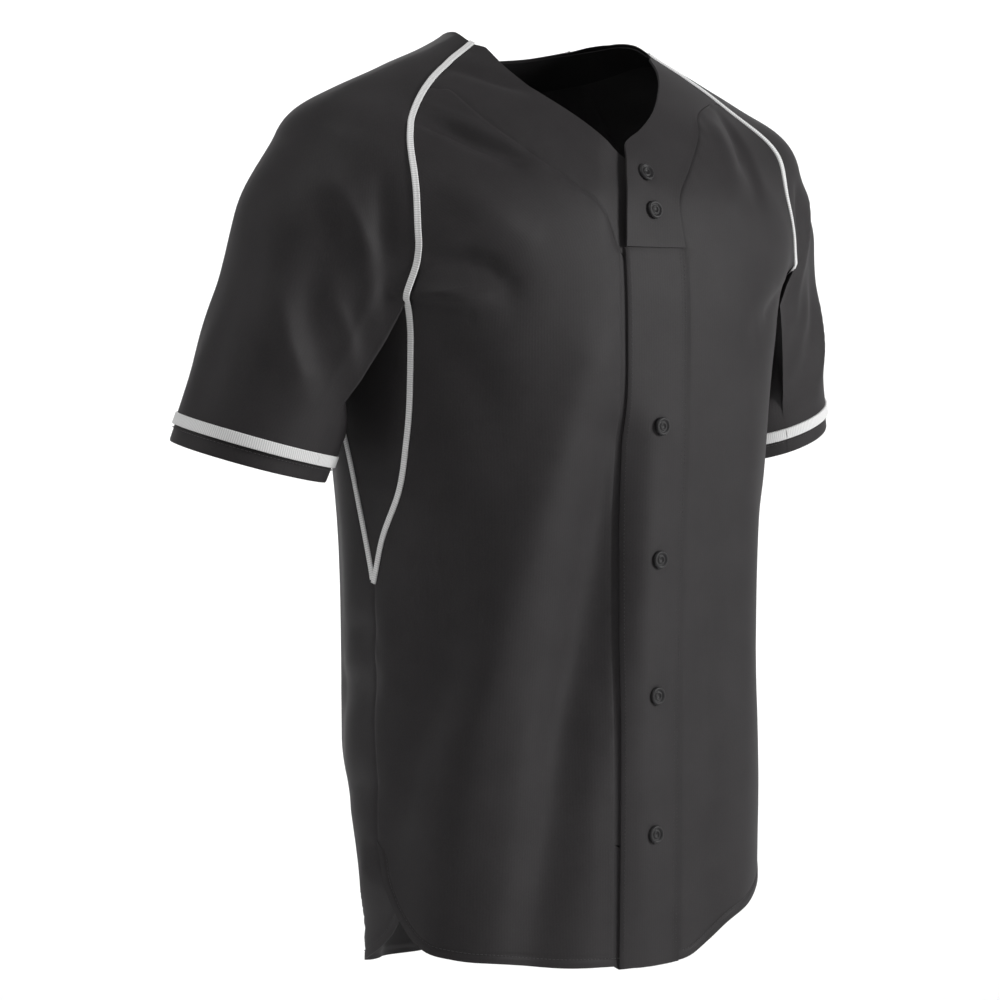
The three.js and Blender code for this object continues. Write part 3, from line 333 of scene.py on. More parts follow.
def double_knit(name, dark, light, sheen):
    material, tree = new_material(name)
    place = add_node(tree, "TexCoord")
    uneven = add_node(tree, "TexNoise", {"Scale": 26.0, "Detail": 3.0, "Roughness": 0.55},
                      {"Vector": place.outputs["Object"]})
    fibres = add_node(tree, "TexNoise", {"Scale": 900.0, "Detail": 2.0, "Roughness": 0.6},
                      {"Vector": place.outputs["Object"]})
    both = add_node(tree, "Math", {"operation": "ADD"}, {0: uneven.outputs["Fac"], 1: fibres.outputs["Fac"]})
    tone = add_node(tree, "MapRange", {"From Min": 0.6, "From Max": 1.4}, {"Value": both.outputs[0]})
    colour = add_node(tree, "Mix", {"data_type": "RGBA", 6: linear(dark), 7: linear(light)},
                      {"Factor": tone.outputs[0]})
    ribs = add_node(tree, "TexWave", {"bands_direction": "X", "Scale": rib_scale(WALE), "Distortion": 0.6,
                                      "Detail": 1.0, "Detail Scale": 2.0},
                    {"Vector": place.outputs["UV"]})
    grain = add_node(tree, "Math", {"operation": "MULTIPLY_ADD", 1: 0.5},
                     {0: fibres.outputs["Fac"], 2: ribs.outputs["Fac"]})
    bump = add_node(tree, "Bump", {"Strength": 0.13, "Distance": 0.00012}, {"Height": grain.outputs[0]})
    cloth = add_node(tree, "BsdfPrincipled",
                     {"Roughness": 0.6, "IOR": 1.5, "Specular IOR Level": 0.18, "Sheen Weight": sheen,
                      "Sheen Roughness": 0.45, "Sheen Tint": linear("#c8c4c8")},
                     {"Base Color": colour.outputs[2], "Normal": bump.outputs["Normal"]})
    add_node(tree, "OutputMaterial", links={"Surface": cloth.outputs["BSDF"]})
    return material


KNIT = double_knit("polyester double knit", "#2a2829", "#333132", 0.05)


# Making a shell
# A panel is a grid of places on its outside, with nan where it has none. It becomes a thin closed
# cloth of one thickness, with its wales running up and down.


def make_piece(name, points, faces, material, chart=None, crease=None):
    """A mesh that is shaded round, except at folds sharper than the crease, or flat without one."""
    mesh = bpy.data.meshes.new(name)
    mesh.from_pydata((np.array(points) * MM).tolist(), [], faces)
    if chart is not None:
        corners = [at for face in faces for at in face]
        layer = mesh.uv_layers.new(name="cloth")
        layer.data.foreach_set("uv", (chart[corners] * MM).astype(np.float32).reshape(-1))
    if crease:
        mesh.shade_smooth()
        mesh.set_sharp_from_angle(angle=math.radians(crease))
    mesh.materials.append(material)
    piece = bpy.data.objects.new(name, mesh)
    bpy.context.scene.collection.objects.link(piece)
    return piece


def cloth_shell(name, points, ways, material, thick=CLOTH_THICK, ring=False):
    rows = len(points)
    there = ~np.isnan(points[..., 0])
    index = np.where(there, np.cumsum(there).reshape(there.shape) - 1, -1)
    turn = np.roll(index, -1, 1) if ring else index[:, 1:]
    here = index if ring else index[:, :-1]
    cells = np.stack([here[:-1], here[1:], turn[1:], turn[:-1]], -1).reshape(-1, 4)
    cells = cells[(cells >= 0).all(1)]
    flat, out = points[there], ways[there]
    diagonals = [flat[cells[:, i + 2]] - flat[cells[:, i]] for i in (0, 1)]
    if (np.cross(*diagonals) * out[cells[:, 0]]).sum() < 0:
        cells = cells[:, ::-1]
    count = len(flat)
    edges = np.stack([cells, np.roll(cells, -1, 1)], -1).reshape(-1, 2)
    keys = edges[:, 0].astype(np.int64) * count + edges[:, 1]
    back_keys = edges[:, 1].astype(np.int64) * count + edges[:, 0]
    rim = edges[~np.isin(keys, back_keys)]
    walls = np.stack([rim[:, 1], rim[:, 0], rim[:, 0] + count, rim[:, 1] + count], 1)
    faces = np.concatenate([cells, cells[:, ::-1] + count, walls])
    around = np.concatenate([np.zeros((rows, 1)), np.cumsum(
        np.linalg.norm(np.diff(np.nan_to_num(points), axis=1), axis=-1), 1)], 1)
    first = np.argmax(there, axis=1)
    around -= around[np.arange(rows), first][:, None]
    chart = np.stack([around[there], flat[:, 2]], -1)
    return make_piece(name, np.concatenate([flat, flat - out * thick]), faces.tolist(), material,
                      np.concatenate([chart, chart]), crease=50)


def sewn(piece, slot, *nodes):
    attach(piece, "root")
    if nodes:
        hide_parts(*nodes)
    return piece


def spread(count, fine=0.012):
    """Steps from 0 to 1 that crowd at both ends, where the seams pull the cloth in."""
    ends = np.array([0, 0.2, 0.45, 1]) * fine
    return np.concatenate([ends, np.linspace(fine, 1 - fine, count)[1:-1], 1 - ends[::-1]])


SEAM_SINK = 0.7        # the seams pull the cloth in by this much
PUCKER = 0.22          # and gather it in small uneven waves


def seam_pull(points, ways, sides):
    """Sinks and puckers a panel along chosen sides of its grid: first or last column, or top row."""
    step_across = np.linalg.norm(np.diff(points, axis=1), axis=-1)
    step_down = np.linalg.norm(np.diff(points, axis=0), axis=-1)
    zero_column = np.zeros((points.shape[0], 1))
    zero_row = np.zeros((1, points.shape[1]))
    away = {"first": np.concatenate([zero_column, np.cumsum(step_across, 1)], 1),
            "last": np.concatenate([np.cumsum(step_across[:, ::-1], 1)[:, ::-1], zero_column], 1),
            "top": np.concatenate([zero_row, np.cumsum(step_down, 0)], 0)}
    lift = np.zeros(points.shape[:2])
    for side in sides:
        near = np.nan_to_num(away[side], nan=1e3)
        run = away["top"] if side in ("first", "last") else away["first"]
        run = np.nan_to_num(run, nan=0)
        wave = (np.sin(run / 3.1 + 1.3 * np.sin(run / 17)) + 0.7 * np.sin(run / 5.3 + 2)
                + 0.6 * np.sin(run / 11.9 + 0.7)) / 1.6
        lift -= SEAM_SINK * np.exp(-(near / 1.8)**2)
        lift += PUCKER * wave * np.exp(-((near - 5) / 5)**2) * smooth(near / 3)
    return points + ways * lift[..., None], ways


HEM_TURN = 7           # the hems are turned up by this much and stitched
HEM_RISE = 0.5         # rise of the folded edge, and depth of the groove along its stitching
HEM_ROWS = 26          # rows of a panel's grid that the turned hem reaches


def turned_hem(points, ways):
    """Makes the lower edge a little thicker where it is folded up, with a groove along its stitching."""
    edge = points[-1]
    at = np.linspace(0, len(edge) - 1, 8 * len(edge))
    edge = np.stack([np.interp(at, np.arange(len(edge)), edge[:, i]) for i in range(3)], -1)
    away = np.linalg.norm(points[-HEM_ROWS:, :, None] - edge, axis=-1).min(-1)
    lift = HEM_RISE * (smooth((HEM_TURN - away) / 1.5) - np.exp(-((away - HEM_TURN) / 1.2)**2))
    points = points.copy()
    points[-HEM_ROWS:] += ways[-HEM_ROWS:] * lift[..., None]
    return points, ways


# Fronts
# Two panels of the knit. Each is sewn to the neck band, the sleeve and the gusset, closed down the
# side seam to the top of the vent, and turned up narrowly at the curved hem.

# A place on a band's edge is a share of the way along it, a distance from the middle and a height
BAND_COLUMNS = "t x z"
NECK_LEFT = table(BAND_COLUMNS, (0, 90, -10), (0.2, 80, -31), (0.36, 58, -50), (0.48, 34, -67),
                  (0.58, 10, -81), (0.64, -9, -91), (0.7, -17, -106), (0.82, -26, -130), (0.9, -31, -150),
                  (1, -34, -175.7))
BAND_LEFT = table(BAND_COLUMNS, (0, 143, -49), (0.2, 102, -62), (0.42, 80, -84), (0.6, 52, -111),
                  (0.72, 31, -134), (0.8, 28, -150), (1, 30, -175.7))
NECK_RIGHT = table(BAND_COLUMNS, (0, 90, -10), (0.25, 85, -31), (0.48, 69, -52), (0.66, 45, -73),
                   (0.86, 12, -103), (1, -18, -124))
BAND_RIGHT = table(BAND_COLUMNS, (0, 143, -49), (0.25, 128, -78), (0.48, 99, -107), (0.64, 70, -130),
                   (0.78, 48, -152), (0.86, 38, -180), (1, -18, -184))
BAND_RIGHT_SEAM_END = 0.86
FRONT_RAGLAN = {
    "right": table("z angle", (-10, 79), (-28, 78), (-50, 76.5), (-90, 72), (-130, 69), (-173, 68),
                   (-217, 71.5)),
    "left": table("z angle", (-10, 79), (-28, 78), (-50, 76.5), (-90, 71.5), (-134, 67), (-160, 68),
                  (-188, 74), (-217, 76.5))}
GUSSET_FRONT = {
    "right": table("z angle", (-217, 71.5), (-250, 72.5), (-330, 75.5), (-370, 78.5), (-410, 85),
                   (-445, 88.3)),
    "left": table("z angle", (-217, 76.5), (-250, 76), (-330, 77), (-370, 79.5), (-410, 85), (-445, 88.3))}
SIDE_ANGLE = 88
HEM_RIGHT = table("angle z", (0, -755), (18, -752), (38, -749), (53, -743), (64, -739), (71, -733),
                  (77, -718), (82, -698), (86, -674), (88, -652))
HEM_LEFT = table("angle z", (0, -755), (12, -754), (21, -750), (28, -741), (36, -727), (46, -715),
                 (54, -703), (64, -692), (76, -680), (84, -668), (88, -652))
PLACKET_FREE = -34     # its free edge lies on the right front, and its sewn edge on the left one
PLACKET_SEWN = 30
PLACKET_TOP = -176
PLACKET_PROUD = 0.7    # how far it stands off the fronts
SEAM_LAP = 7           # how far the left front runs on under the sewn edge of the placket
LAP_SINK = 1.6         # and how far below it
SEAM_GROOVE = 0.3      # the left front is drawn in beside the sewn edge by this much
UNDERLAP = 24          # how far past the middle the right front runs on under the placket
LAP_START = 38         # how far to the other side that part starts
DIP = -3.0             # the right side dips under the free edge of the placket
DIP_RUN = 26           # from that edge to where the dip has run out
DIP_LOW = 0.55         # what is left of the dip below the upper placket

front_raglan = {side: curve(rows, "angle", "z") for side, rows in FRONT_RAGLAN.items()}
gusset_front = {side: curve(rows, "angle", "z") for side, rows in GUSSET_FRONT.items()}
free_edge = curve([row for row in NECK_LEFT if row["t"] >= 0.64], "x", "z")


def dip(points, ways):
    from_edge = -points[..., 0] + free_edge(points[..., 2]) - 2
    near = smooth(1 - from_edge / DIP_RUN) * smooth((-82 - points[..., 2]) / 14)
    near = near * mix(1, DIP_LOW, smooth((-170 - points[..., 2]) / 14))
    return points + ways * (DIP * near)[..., None], ways


def front_panel(side):
    sign = SLEEVES[side]["sign"]
    right = side == "right"
    seam = curves(BAND_RIGHT if right else BAND_LEFT, "t")
    middle = LAP_START if right else PLACKET_SEWN - SEAM_LAP
    hem = curve(HEM_RIGHT if right else HEM_LEFT, "z", "angle")
    across = spread(62)
    crowd = mix(across, np.sin(across * math.pi / 2), 0.5)

    # Between the band's seam and the raglan, then the placket and the gusset, then the side seam
    s = spread(44, 0.02)
    upper_rows = len(s)
    z = mix(-50, ARMPIT_Z, s)
    t = mix(0.01, BAND_RIGHT_SEAM_END if right else 1, s)
    starts = [(front_angle(seam["x"](t), seam["z"](t)), seam["z"](t), front_raglan[side](z), z)]
    s = np.linspace(0, 1, 58)[1:]
    z, start = mix(ARMPIT_Z, TIP_Z, s), mix(PLACKET_TOP - 4, TIP_Z, s)
    starts.append((front_angle(middle, start), start, gusset_front[side](z), z))
    z = np.linspace(TIP_Z, VENT_Z, 50)[1:]
    starts.append((front_angle(middle, z), z, np.full(len(z), SIDE_ANGLE), z))
    from_angle, from_z, to_angle, to_z = (np.concatenate(parts)[:, None] for parts in zip(*starts))
    angle, z = mix(from_angle, to_angle, crowd), mix(from_z, to_z, crowd)
    # Beside the vent, down to the curved hem
    s = 1 - (1 - np.linspace(0, 1, 34)[1:, None])**1.5
    start = front_angle(middle, mix(VENT_Z, hem(14), s))
    hem_angle = mix(start, SIDE_ANGLE, crowd)
    angle = np.concatenate([angle, hem_angle])
    z = np.concatenate([z, mix(VENT_Z, hem(hem_angle), s)])
    points, ways = on_body(sign * angle, z)
    points, ways = turned_hem(*seam_pull(points, ways, ["first", "last", "top"]))
    if not right:
        below = smooth((PLACKET_TOP + 1 - points[..., 2]) / 3)
        under = smooth((PLACKET_SEWN + 1.5 - points[..., 0]) / 3) * below
        beside = np.exp(-((points[..., 0] - PLACKET_SEWN - 2) / 2)**2) * below
        points = points - ways * (LAP_SINK * under + SEAM_GROOVE * beside)[..., None]
    else:
        points, ways = dip(points, ways)
        lap_x = np.linspace(-UNDERLAP, middle, 14)[:-1]
        lap_z = np.concatenate([from_z[upper_rows - 1:, 0] - 7, mix(VENT_Z, hem(0), s[:, 0])])
        lap_angle = front_angle(lap_x, lap_z[:, None])
        lap_points, lap_ways = dip(*on_body(-lap_angle, lap_z[:, None]))
        empty = np.full((len(points) - len(lap_z), len(lap_x), 3), np.nan)
        points = np.concatenate([np.concatenate([empty, lap_points]), points], 1)
        ways = np.concatenate([np.concatenate([empty, lap_ways]), ways], 1)
    piece = cloth_shell(f"front_{side}_cloth", points, ways, KNIT)
    return sewn(piece, "cloth", f"front_{side}")


fronts = {side: front_panel(side) for side in SLEEVES}


# Neck bands
# Two bands of the knit along the neck. The left one is cut in one with the upper placket, folded double
# and buttoned twice. The right one runs in under it.
DOUBLE_THICK = 1.8
BAND_SPAN = 32         # about how wide the left band is
EDGE_RISE = 0.5        # its sewn edge stands proud of the front by this much
EDGE_STAND = 2.4       # how far the free edge of the upper placket stands off the right band


def neck_band(side):
    sign = SLEEVES[side]["sign"]
    right = side == "right"
    neck = curves(NECK_RIGHT if right else NECK_LEFT, "t")
    seam = curves(BAND_RIGHT if right else BAND_LEFT, "t")
    t = spread(90, 0.01)[:, None]
    u = spread(22, 0.06)
    from_z, to_z = neck["z"](t), seam["z"](t)
    from_angle = front_angle(neck["x"](t), from_z)
    to_angle = front_angle(seam["x"](t), to_z)
    z = mix(from_z, to_z, u)
    raglan = smooth(1 - t / 0.05)
    angle = mix(mix(from_angle, to_angle, u), front_raglan[side](z), raglan)
    points, ways = on_body(sign * angle, z)
    if right:
        points, ways = dip(points, ways)
    else:
        stand = EDGE_STAND * smooth((-88 - z) / 20) * smooth((z + 200) / 50) * smooth(1 - u / 0.5)
        points = points + ways * (PLACKET_PROUD * smooth((-50 - z) / 35) + stand)[..., None]
        sewn_edge = np.exp(-((1 - u) * BAND_SPAN / 2.5)**2) * smooth((-55 - z) / 20)
        points = points + ways * (EDGE_RISE * sewn_edge)[..., None]
    points, ways = seam_pull(points, ways, ["last", "top"] if right else ["top"])
    piece = cloth_shell(f"neck_band_{side}_cloth", points, ways, KNIT, CLOTH_THICK if right else DOUBLE_THICK)
    return sewn(piece, "cloth", f"neck_band_{side}")


bands = {side: neck_band(side) for side in SLEEVES}


# Placket
# A straight strip of the knit folded double down the edge of the left front, stitched down along
# both edges, with the four lower buttons.


def sewn_rise(x):
    """How far the stitched edge of the placket is puffed up."""
    return np.exp(-((x - PLACKET_SEWN) / 3.5)**2)


def placket():
    hem = curve(HEM_LEFT, "z", "angle")
    x = np.concatenate([[PLACKET_FREE, PLACKET_FREE + 0.5, PLACKET_FREE + 1.5],
                        np.linspace(PLACKET_FREE + 4, PLACKET_SEWN - 0.3, 16)])
    z = np.linspace(PLACKET_TOP, VENT_Z, 110)[:, None]
    angle = front_angle(x, z)
    s = np.linspace(0, 1, 26)[1:, None]
    low_angle = front_angle(x, mix(VENT_Z, hem(0), s))
    angle = np.concatenate([angle, low_angle])
    z = np.concatenate([np.broadcast_to(z, (len(z), len(x))), mix(VENT_Z, hem(np.abs(low_angle)), s)])
    rolled = PLACKET_PROUD * np.exp(-((x - PLACKET_FREE) / 1.2)**2)
    points, ways = on_body(angle, z, PLACKET_PROUD - rolled + sewn_rise(x))
    points, ways = seam_pull(points, ways, ["top"])
    piece = cloth_shell("placket_cloth", points, ways, KNIT, DOUBLE_THICK)
    return sewn(piece, "cloth", "placket")


placket_cloth = placket()


# Back
# One panel of the knit between the raglan seams, falling straight to a rounded tail that is turned up
# and stitched. The tail hangs a little inside the fronts at the vents.
BACK_RAGLAN = table("z angle", (-5, 128), (-30, 124), (-60, 121), (-100, 118), (-150, 116), (-190, 113.5),
                    (-217, 110))
GUSSET_BACK = table("z angle", (-217, 110), (-260, 104.5), (-330, 97.5), (-400, 92), (-445, 88.3))
NECK_BACK = table("angle z", (79, -10), (90, -1), (100, 1), (112, -1), (128, -5), (150, -11), (180, -15))
HEM_BACK = table("angle z", (78, -690), (80, -700), (83, -711), (89, -731), (100, -750), (120, -757),
                 (180, -761))
TAIL_TUCK = 34         # how far in the tail swings, all of it between these two heights
TUCK_TOP = -575
TUCK_LOW = -731
TAIL_OVERLAP = 10      # how far it runs in behind the fronts, in degrees
back_raglan = curve(BACK_RAGLAN, "angle", "z")
gusset_back = curve(GUSSET_BACK, "angle", "z")
neck_back = curve(NECK_BACK, "z", "angle")


def tail_tuck(side_angle, z):
    """How far the back tail swings in under the fronts."""
    reach = np.maximum(smooth((side_angle - SIDE_ANGLE) / 30) * mix(1, 0.45, smooth((side_angle - 140) / 40)),
                       0.5 * smooth((VENT_Z - z) / 80))
    vent = np.where(z < VENT_Z, 2.6 + 6 * smooth((VENT_Z - z) / 60), 0)
    beside = smooth(1 - (side_angle - SIDE_ANGLE) / 14)
    return -np.maximum(TAIL_TUCK * smooth((TUCK_TOP - z) / (TUCK_TOP - TUCK_LOW)) * reach, vent * beside)


def back_panel():
    # Between the raglans, then the gussets, then the side seams, then the tail
    hem = curve(HEM_BACK, "z", "angle")
    across = spread(110, 0.008)
    s = spread(46, 0.02)[:, None]
    edge_z = mix(-5, ARMPIT_Z, s)
    edge = back_raglan(edge_z)
    angle = mix(edge, 360 - edge, across)
    side_angle = np.minimum(angle, 360 - angle)
    parts = [(angle, edge_z + (neck_back(side_angle) - neck_back(edge)) * (1 - s))]
    z = np.linspace(ARMPIT_Z, TIP_Z, 50)[1:, None]
    parts.append((mix(gusset_back(z), 360 - gusset_back(z), across), z))
    z = np.linspace(TIP_Z, VENT_Z, 44)[1:, None]
    parts.append((mix(SIDE_ANGLE, 360 - SIDE_ANGLE, across) + 0 * z, z))
    s = 1 - (1 - np.linspace(0, 1, 33)[1:, None])**1.5
    edge = SIDE_ANGLE + 0.4 - TAIL_OVERLAP * smooth((s - 0.2) / 0.8)
    angle = mix(edge, 360 - edge, across)
    parts.append((angle, mix(VENT_Z, hem(np.minimum(angle, 360 - angle)), s)))
    angle = np.concatenate([a for a, _ in parts])
    z = np.concatenate([np.broadcast_to(z, a.shape) for a, z in parts])
    points, ways = on_body(angle, z)
    points, ways = seam_pull(points, ways, ["first", "last"])
    points = points + ways * tail_tuck(np.minimum(angle, 360 - angle), z)[..., None]
    points, ways = turned_hem(points, ways)
    piece = cloth_shell("back_cloth", points, ways, KNIT)
    return sewn(piece, "cloth", "back")


back = back_panel()


# Underarm gussets
# A wedge of the same knit under each arm, sewn in between front, back and sleeve to give the arm
# room. Its point is the top of the side seam.


def gusset(side):
    sign = SLEEVES[side]["sign"]
    z = mix(ARMPIT_Z, TIP_Z + 1, spread(56, 0.02))[:, None]
    angle = mix(gusset_front[side](z), gusset_back(z), spread(26, 0.05))
    points, ways = on_body(sign * angle, z)
    points, ways = seam_pull(points, ways, ["first", "last", "top"])
    piece = cloth_shell(f"gusset_{side}_cloth", points, ways, KNIT)
    return sewn(piece, "cloth", f"gusset_{side}")


for side in SLEEVES:
    gusset(side)


# Sleeves
# One raglan piece of the knit a side, sewn in from the neck over the shoulder to the armpit. Above the
# armpit its rings span from seam to seam and fan round; below it they close round the arm.
# Where the middle of each ring points, in degrees up, and how far its centre is pushed out
FAN = curves(table("t lift push", (0, 42, 0), (0.1, 52, 0), (0.3, 58, 4), (0.5, 52, 12), (0.7, 40, 20),
                   (0.85, 29, 26), (1, 19, 30)), "t")
SLEEVE_CLEAR = 5       # the sleeve keeps this far off the body
RIM_ALONG = 103        # where the closed part of the sleeve starts, down its axis
INNER = 26             # steps across the underarm
SOFTENING = 30         # passes that smooth the join of the closed and the open part
CUFF_BAND = 13.5       # what shows of the band below the braid
CUFF_BRAID_WIDTH = 9.5
CUFF_INSET = 0.9       # how far the band is set in from the sleeve's surface


def sleeve_form(side):
    """The open fan of the shoulder and a function for the closed rings of the arm."""
    part = SLEEVES[side]
    sign = part["sign"]
    mirror = np.array([sign, 1, 1])
    # The open part: each row runs from the front raglan seam over the shoulder to the back one
    t = spread(52, 0.02)
    u = spread(70)
    front_z, back_z = mix(-10, ARMPIT_Z, t), mix(-5, ARMPIT_Z, t)
    front, _ = on_body(sign * front_raglan[side](front_z), front_z)
    rear, _ = on_body(sign * back_raglan(back_z), back_z)
    chord = unit(rear - front)
    lift = np.radians(FAN["lift"](t))
    rise = places(sign * np.cos(lift), 0, np.sin(lift))
    rise = unit(rise - chord * (rise * chord).sum(-1, keepdims=True))
    centre = (front + rear) / 2 + rise * FAN["push"](t)[:, None]
    turns = [np.arctan2(((end - centre) * chord).sum(-1), ((end - centre) * rise).sum(-1))
             for end in (front, rear)]
    angle = mix(turns[0][:, None], turns[1][:, None], u)[..., None]
    rays = rise[:, None] * np.cos(angle) + chord[:, None] * np.sin(angle)
    hit = cast(worn_depth, centre[:, None], rays, reach=220, marches=30)
    ways = outward(worn_depth, hit)
    inward = smooth(np.minimum(u, 1 - u) / 0.12)
    folded = fold_height(BODY_FOLDS + CREASES, hit) + inward * sleeve_fold(hit)
    hit = hit + ways * folded[..., None]
    hit[:, 0], hit[:, -1] = front, rear
    top_angle = mix(front_raglan[side](-10), back_raglan(-5), u)
    hit[0], ways[0] = on_body(sign * top_angle, neck_back(top_angle))
    fan, fan_ways = hit[::-1], ways[::-1]

    # Its last row is closed under the arm, along the top of the gusset
    v = np.linspace(0, 1, INNER + 1)[1:-1]
    edge_angle = mix(gusset_back(ARMPIT_Z), gusset_front[side](ARMPIT_Z), v)
    edge, edge_ways = on_body(sign * edge_angle, ARMPIT_Z + 0.4)
    rim = np.concatenate([fan[0], edge + edge_ways * 0.45])
    start, axis, out, fore = (part[name] * mirror for name in ("start", "axis", "out", "fore"))
    offset = rim - start
    turn = np.arctan2(offset @ fore, offset @ out)

    def section(along):
        across, deep = np.abs(np.cos(turn)) / arm["across"](along), np.abs(np.sin(turn)) / arm["deep"](along)
        radius = (across**ARM_POWER + deep**ARM_POWER)**(-1 / ARM_POWER)
        radial = np.cos(turn)[:, None] * out + np.sin(turn)[:, None] * fore
        return start + np.multiply.outer(along, axis) + radial * radius[:, None], radial

    seamward = np.concatenate([inward, np.zeros(INNER - 1)])
    first_ways = np.concatenate([ways[-1], edge_ways])
    raised = np.concatenate([ways[-1] * (inward * sleeve_fold(hit[-1]))[:, None], np.zeros((INNER - 1, 3))])
    shift = rim - raised - section(RIM_ALONG)[0]

    def tube_row(along, lift=0.0):
        t = (along - RIM_ALONG) / (part["length"] - RIM_ALONG)
        drop = part["out_drop"] * np.cos(turn) + part["front_drop"] * np.sin(turn)
        place, radial = section(along + drop * smooth(t))
        place = place + shift * (1 - smooth(t / 0.75)) + radial * lift
        settled = mix(seamward, 1, smooth(t / 0.25)) * smooth((1 - t) / 0.3)
        raise_ways = unit(mix(first_ways, radial, smooth(t / 0.25)))
        place = place + raise_ways * (sleeve_fold(place) * settled)[:, None]
        clear = mix(0.5, SLEEVE_CLEAR, smooth(t / 0.22)) + lift
        short = np.maximum(clear - body_depth(place), 0)
        return place + outward(body_depth, place) * short[:, None], radial

    return fan, fan_ways, tube_row


def sleeve_panel(side, form):
    fan, fan_ways, tube_row = form
    seam_at = SLEEVES[side]["length"] - CUFF_BAND - CUFF_BRAID_WIDTH / 2
    tube = [tube_row(along) for along in np.linspace(seam_at, RIM_ALONG, 52)[:-1]]
    rim, rim_ways = tube_row(RIM_ALONG)
    hole = np.full((len(fan) - 1, INNER - 1, 3), np.nan)
    first = np.concatenate([fan[0], rim[fan.shape[1]:]])
    first_ways = np.concatenate([fan_ways[0], rim_ways[fan.shape[1]:]])
    points = np.concatenate([[row for row, _ in tube], first[None], np.concatenate([fan[1:], hole], 1)])
    ways = np.concatenate([[way for _, way in tube], first_ways[None],
                           np.concatenate([fan_ways[1:], hole], 1)])
    # The rings run on into the shoulder without a crease
    upper = points[:, :fan.shape[1]]
    u = spread(70)
    near = (np.exp(-((np.arange(len(points)) - len(tube)) / 5)**2)[1:-1, None]
            * smooth(np.minimum(u, 1 - u) / 0.1))[..., None]
    for _ in range(SOFTENING):
        upper[1:-1] += near * ((upper[:-2] + upper[2:]) / 2 - upper[1:-1]) / 2
    piece = cloth_shell(f"sleeve_{side}_cloth", points, ways, KNIT, ring=True)
    return sewn(piece, "cloth", f"sleeve_{side}")


sleeve_forms = {side: sleeve_form(side) for side in SLEEVES}
for side in SLEEVES:
    sleeve_panel(side, sleeve_forms[side])


# Braid
# Flat knitted polyester braid, white and matt, sewn over the raglan seams and both edges of the
# gussets. It is 6 mm wide, of which its rolled edges leave 5.2 mm, and 9.5 mm at the cuffs. Its edges
# stand a little higher than its middle and it has fine crossways ribs, with painted shade in their hollows.
PIPING_WIDTH = 5.2
PIPING_RISE = 2.6      # how far it stands off the body at the armpit, where the sleeve meets it
BRAID_HIGH = 1.3
BRAID_RIB = 1.8        # its crossways ribs, coarser than real ones so that they show


def knitted_braid():
    material, tree = new_material("knitted polyester braid")
    place = add_node(tree, "TexCoord")
    ribs = add_node(tree, "TexWave", {"bands_direction": "Y", "Scale": rib_scale(BRAID_RIB),
                                      "Distortion": 1.0, "Detail": 2.0, "Detail Scale": 3.0},
                    {"Vector": place.outputs["UV"]})
    fibres = add_node(tree, "TexNoise", {"Scale": 1400.0, "Detail": 2.0}, {"Vector": place.outputs["Object"]})
    height = add_node(tree, "Math", {"operation": "MULTIPLY_ADD", 1: 0.6},
                      {0: fibres.outputs["Fac"], 2: ribs.outputs["Fac"]})
    bump = add_node(tree, "Bump", {"Strength": 0.35, "Distance": 0.0002}, {"Height": height.outputs[0]})
    # Painted shade: the braid's colour is darker in the hollows of its ribs and lighter on their crests
    tone = add_node(tree, "Mix", {"data_type": "RGBA", 6: linear("#cfcfcf"), 7: linear("#eeeeed")},
                    {"Factor": ribs.outputs["Fac"]})
    yarn = add_node(tree, "BsdfPrincipled", {"Roughness": 0.7, "IOR": 1.5, "Specular IOR Level": 0.3,
                                             "Sheen Weight": 0.2, "Sheen Roughness": 0.5},
                    {"Base Color": tone.outputs[2], "Normal": bump.outputs["Normal"]})
    add_node(tree, "OutputMaterial", links={"Surface": yarn.outputs["BSDF"]})
    return material


BRAID = knitted_braid()
PIPING_PROFILE = [(-1, -0.1), (-1, 0.55), (-0.86, 0.92), (-0.6, 1), (-0.3, 0.86), (0, 0.84), (0.3, 0.86),
                  (0.6, 1), (0.86, 0.92), (1, 0.55), (1, -0.1)]


def laid_braid(name, points, ways, width, profile, closed=False):
    """A length of braid of the given section, laid along a line of places."""
    if closed:
        along = unit(np.roll(points, -1, 0) - np.roll(points, 1, 0))
    else:
        along = unit(np.gradient(points, axis=0))
    across = unit(np.cross(along, ways))
    offsets = np.array(profile) * (width / 2, BRAID_HIGH)
    rings = points[:, None] + across[:, None] * offsets[None, :, :1] + ways[:, None] * offsets[None, :, 1:]
    count, sides = rings.shape[:2]
    here = np.arange(count if closed else count - 1)[:, None]
    turn = np.arange(sides)
    after, beside = (here + 1) % count, (turn + 1) % sides
    faces = np.stack([here * sides + turn, here * sides + beside, after * sides + beside,
                      after * sides + turn], -1).reshape(-1, 4).tolist()
    if not closed:
        faces += [list(range(sides))[::-1], list(range((count - 1) * sides, count * sides))]
    steps = np.linalg.norm(np.diff(points, axis=0), axis=-1)
    run = np.concatenate([[0], np.cumsum(steps)])
    chart = np.stack(np.broadcast_arrays(offsets[None, :, 0], run[:, None]), -1).reshape(-1, 2)
    return make_piece(name, rings.reshape(-1, 3), faces, BRAID, chart, crease=55)


def piping(side, name, raglan, raglan_top, wedge, tip, lift):
    sign = SLEEVES[side]["sign"]
    z = np.concatenate([np.linspace(raglan_top, ARMPIT_Z, 70), np.linspace(ARMPIT_Z, TIP_Z + tip, 76)[1:]])
    angle = np.where(z > ARMPIT_Z, raglan(z), wedge(z))
    near = np.where(z > ARMPIT_Z, smooth((ARMPIT_Z + 40 - z) / 36), smooth((z - ARMPIT_Z + 14) / 14))
    points, ways = on_body(sign * angle, z, PIPING_RISE * near + lift)
    piece = laid_braid(f"piping_{name}_{side}_braid", points, ways, PIPING_WIDTH, PIPING_PROFILE)
    return sewn(piece, "braid", f"piping_{name}_{side}", f"piping_wedge_{name}_{side}")


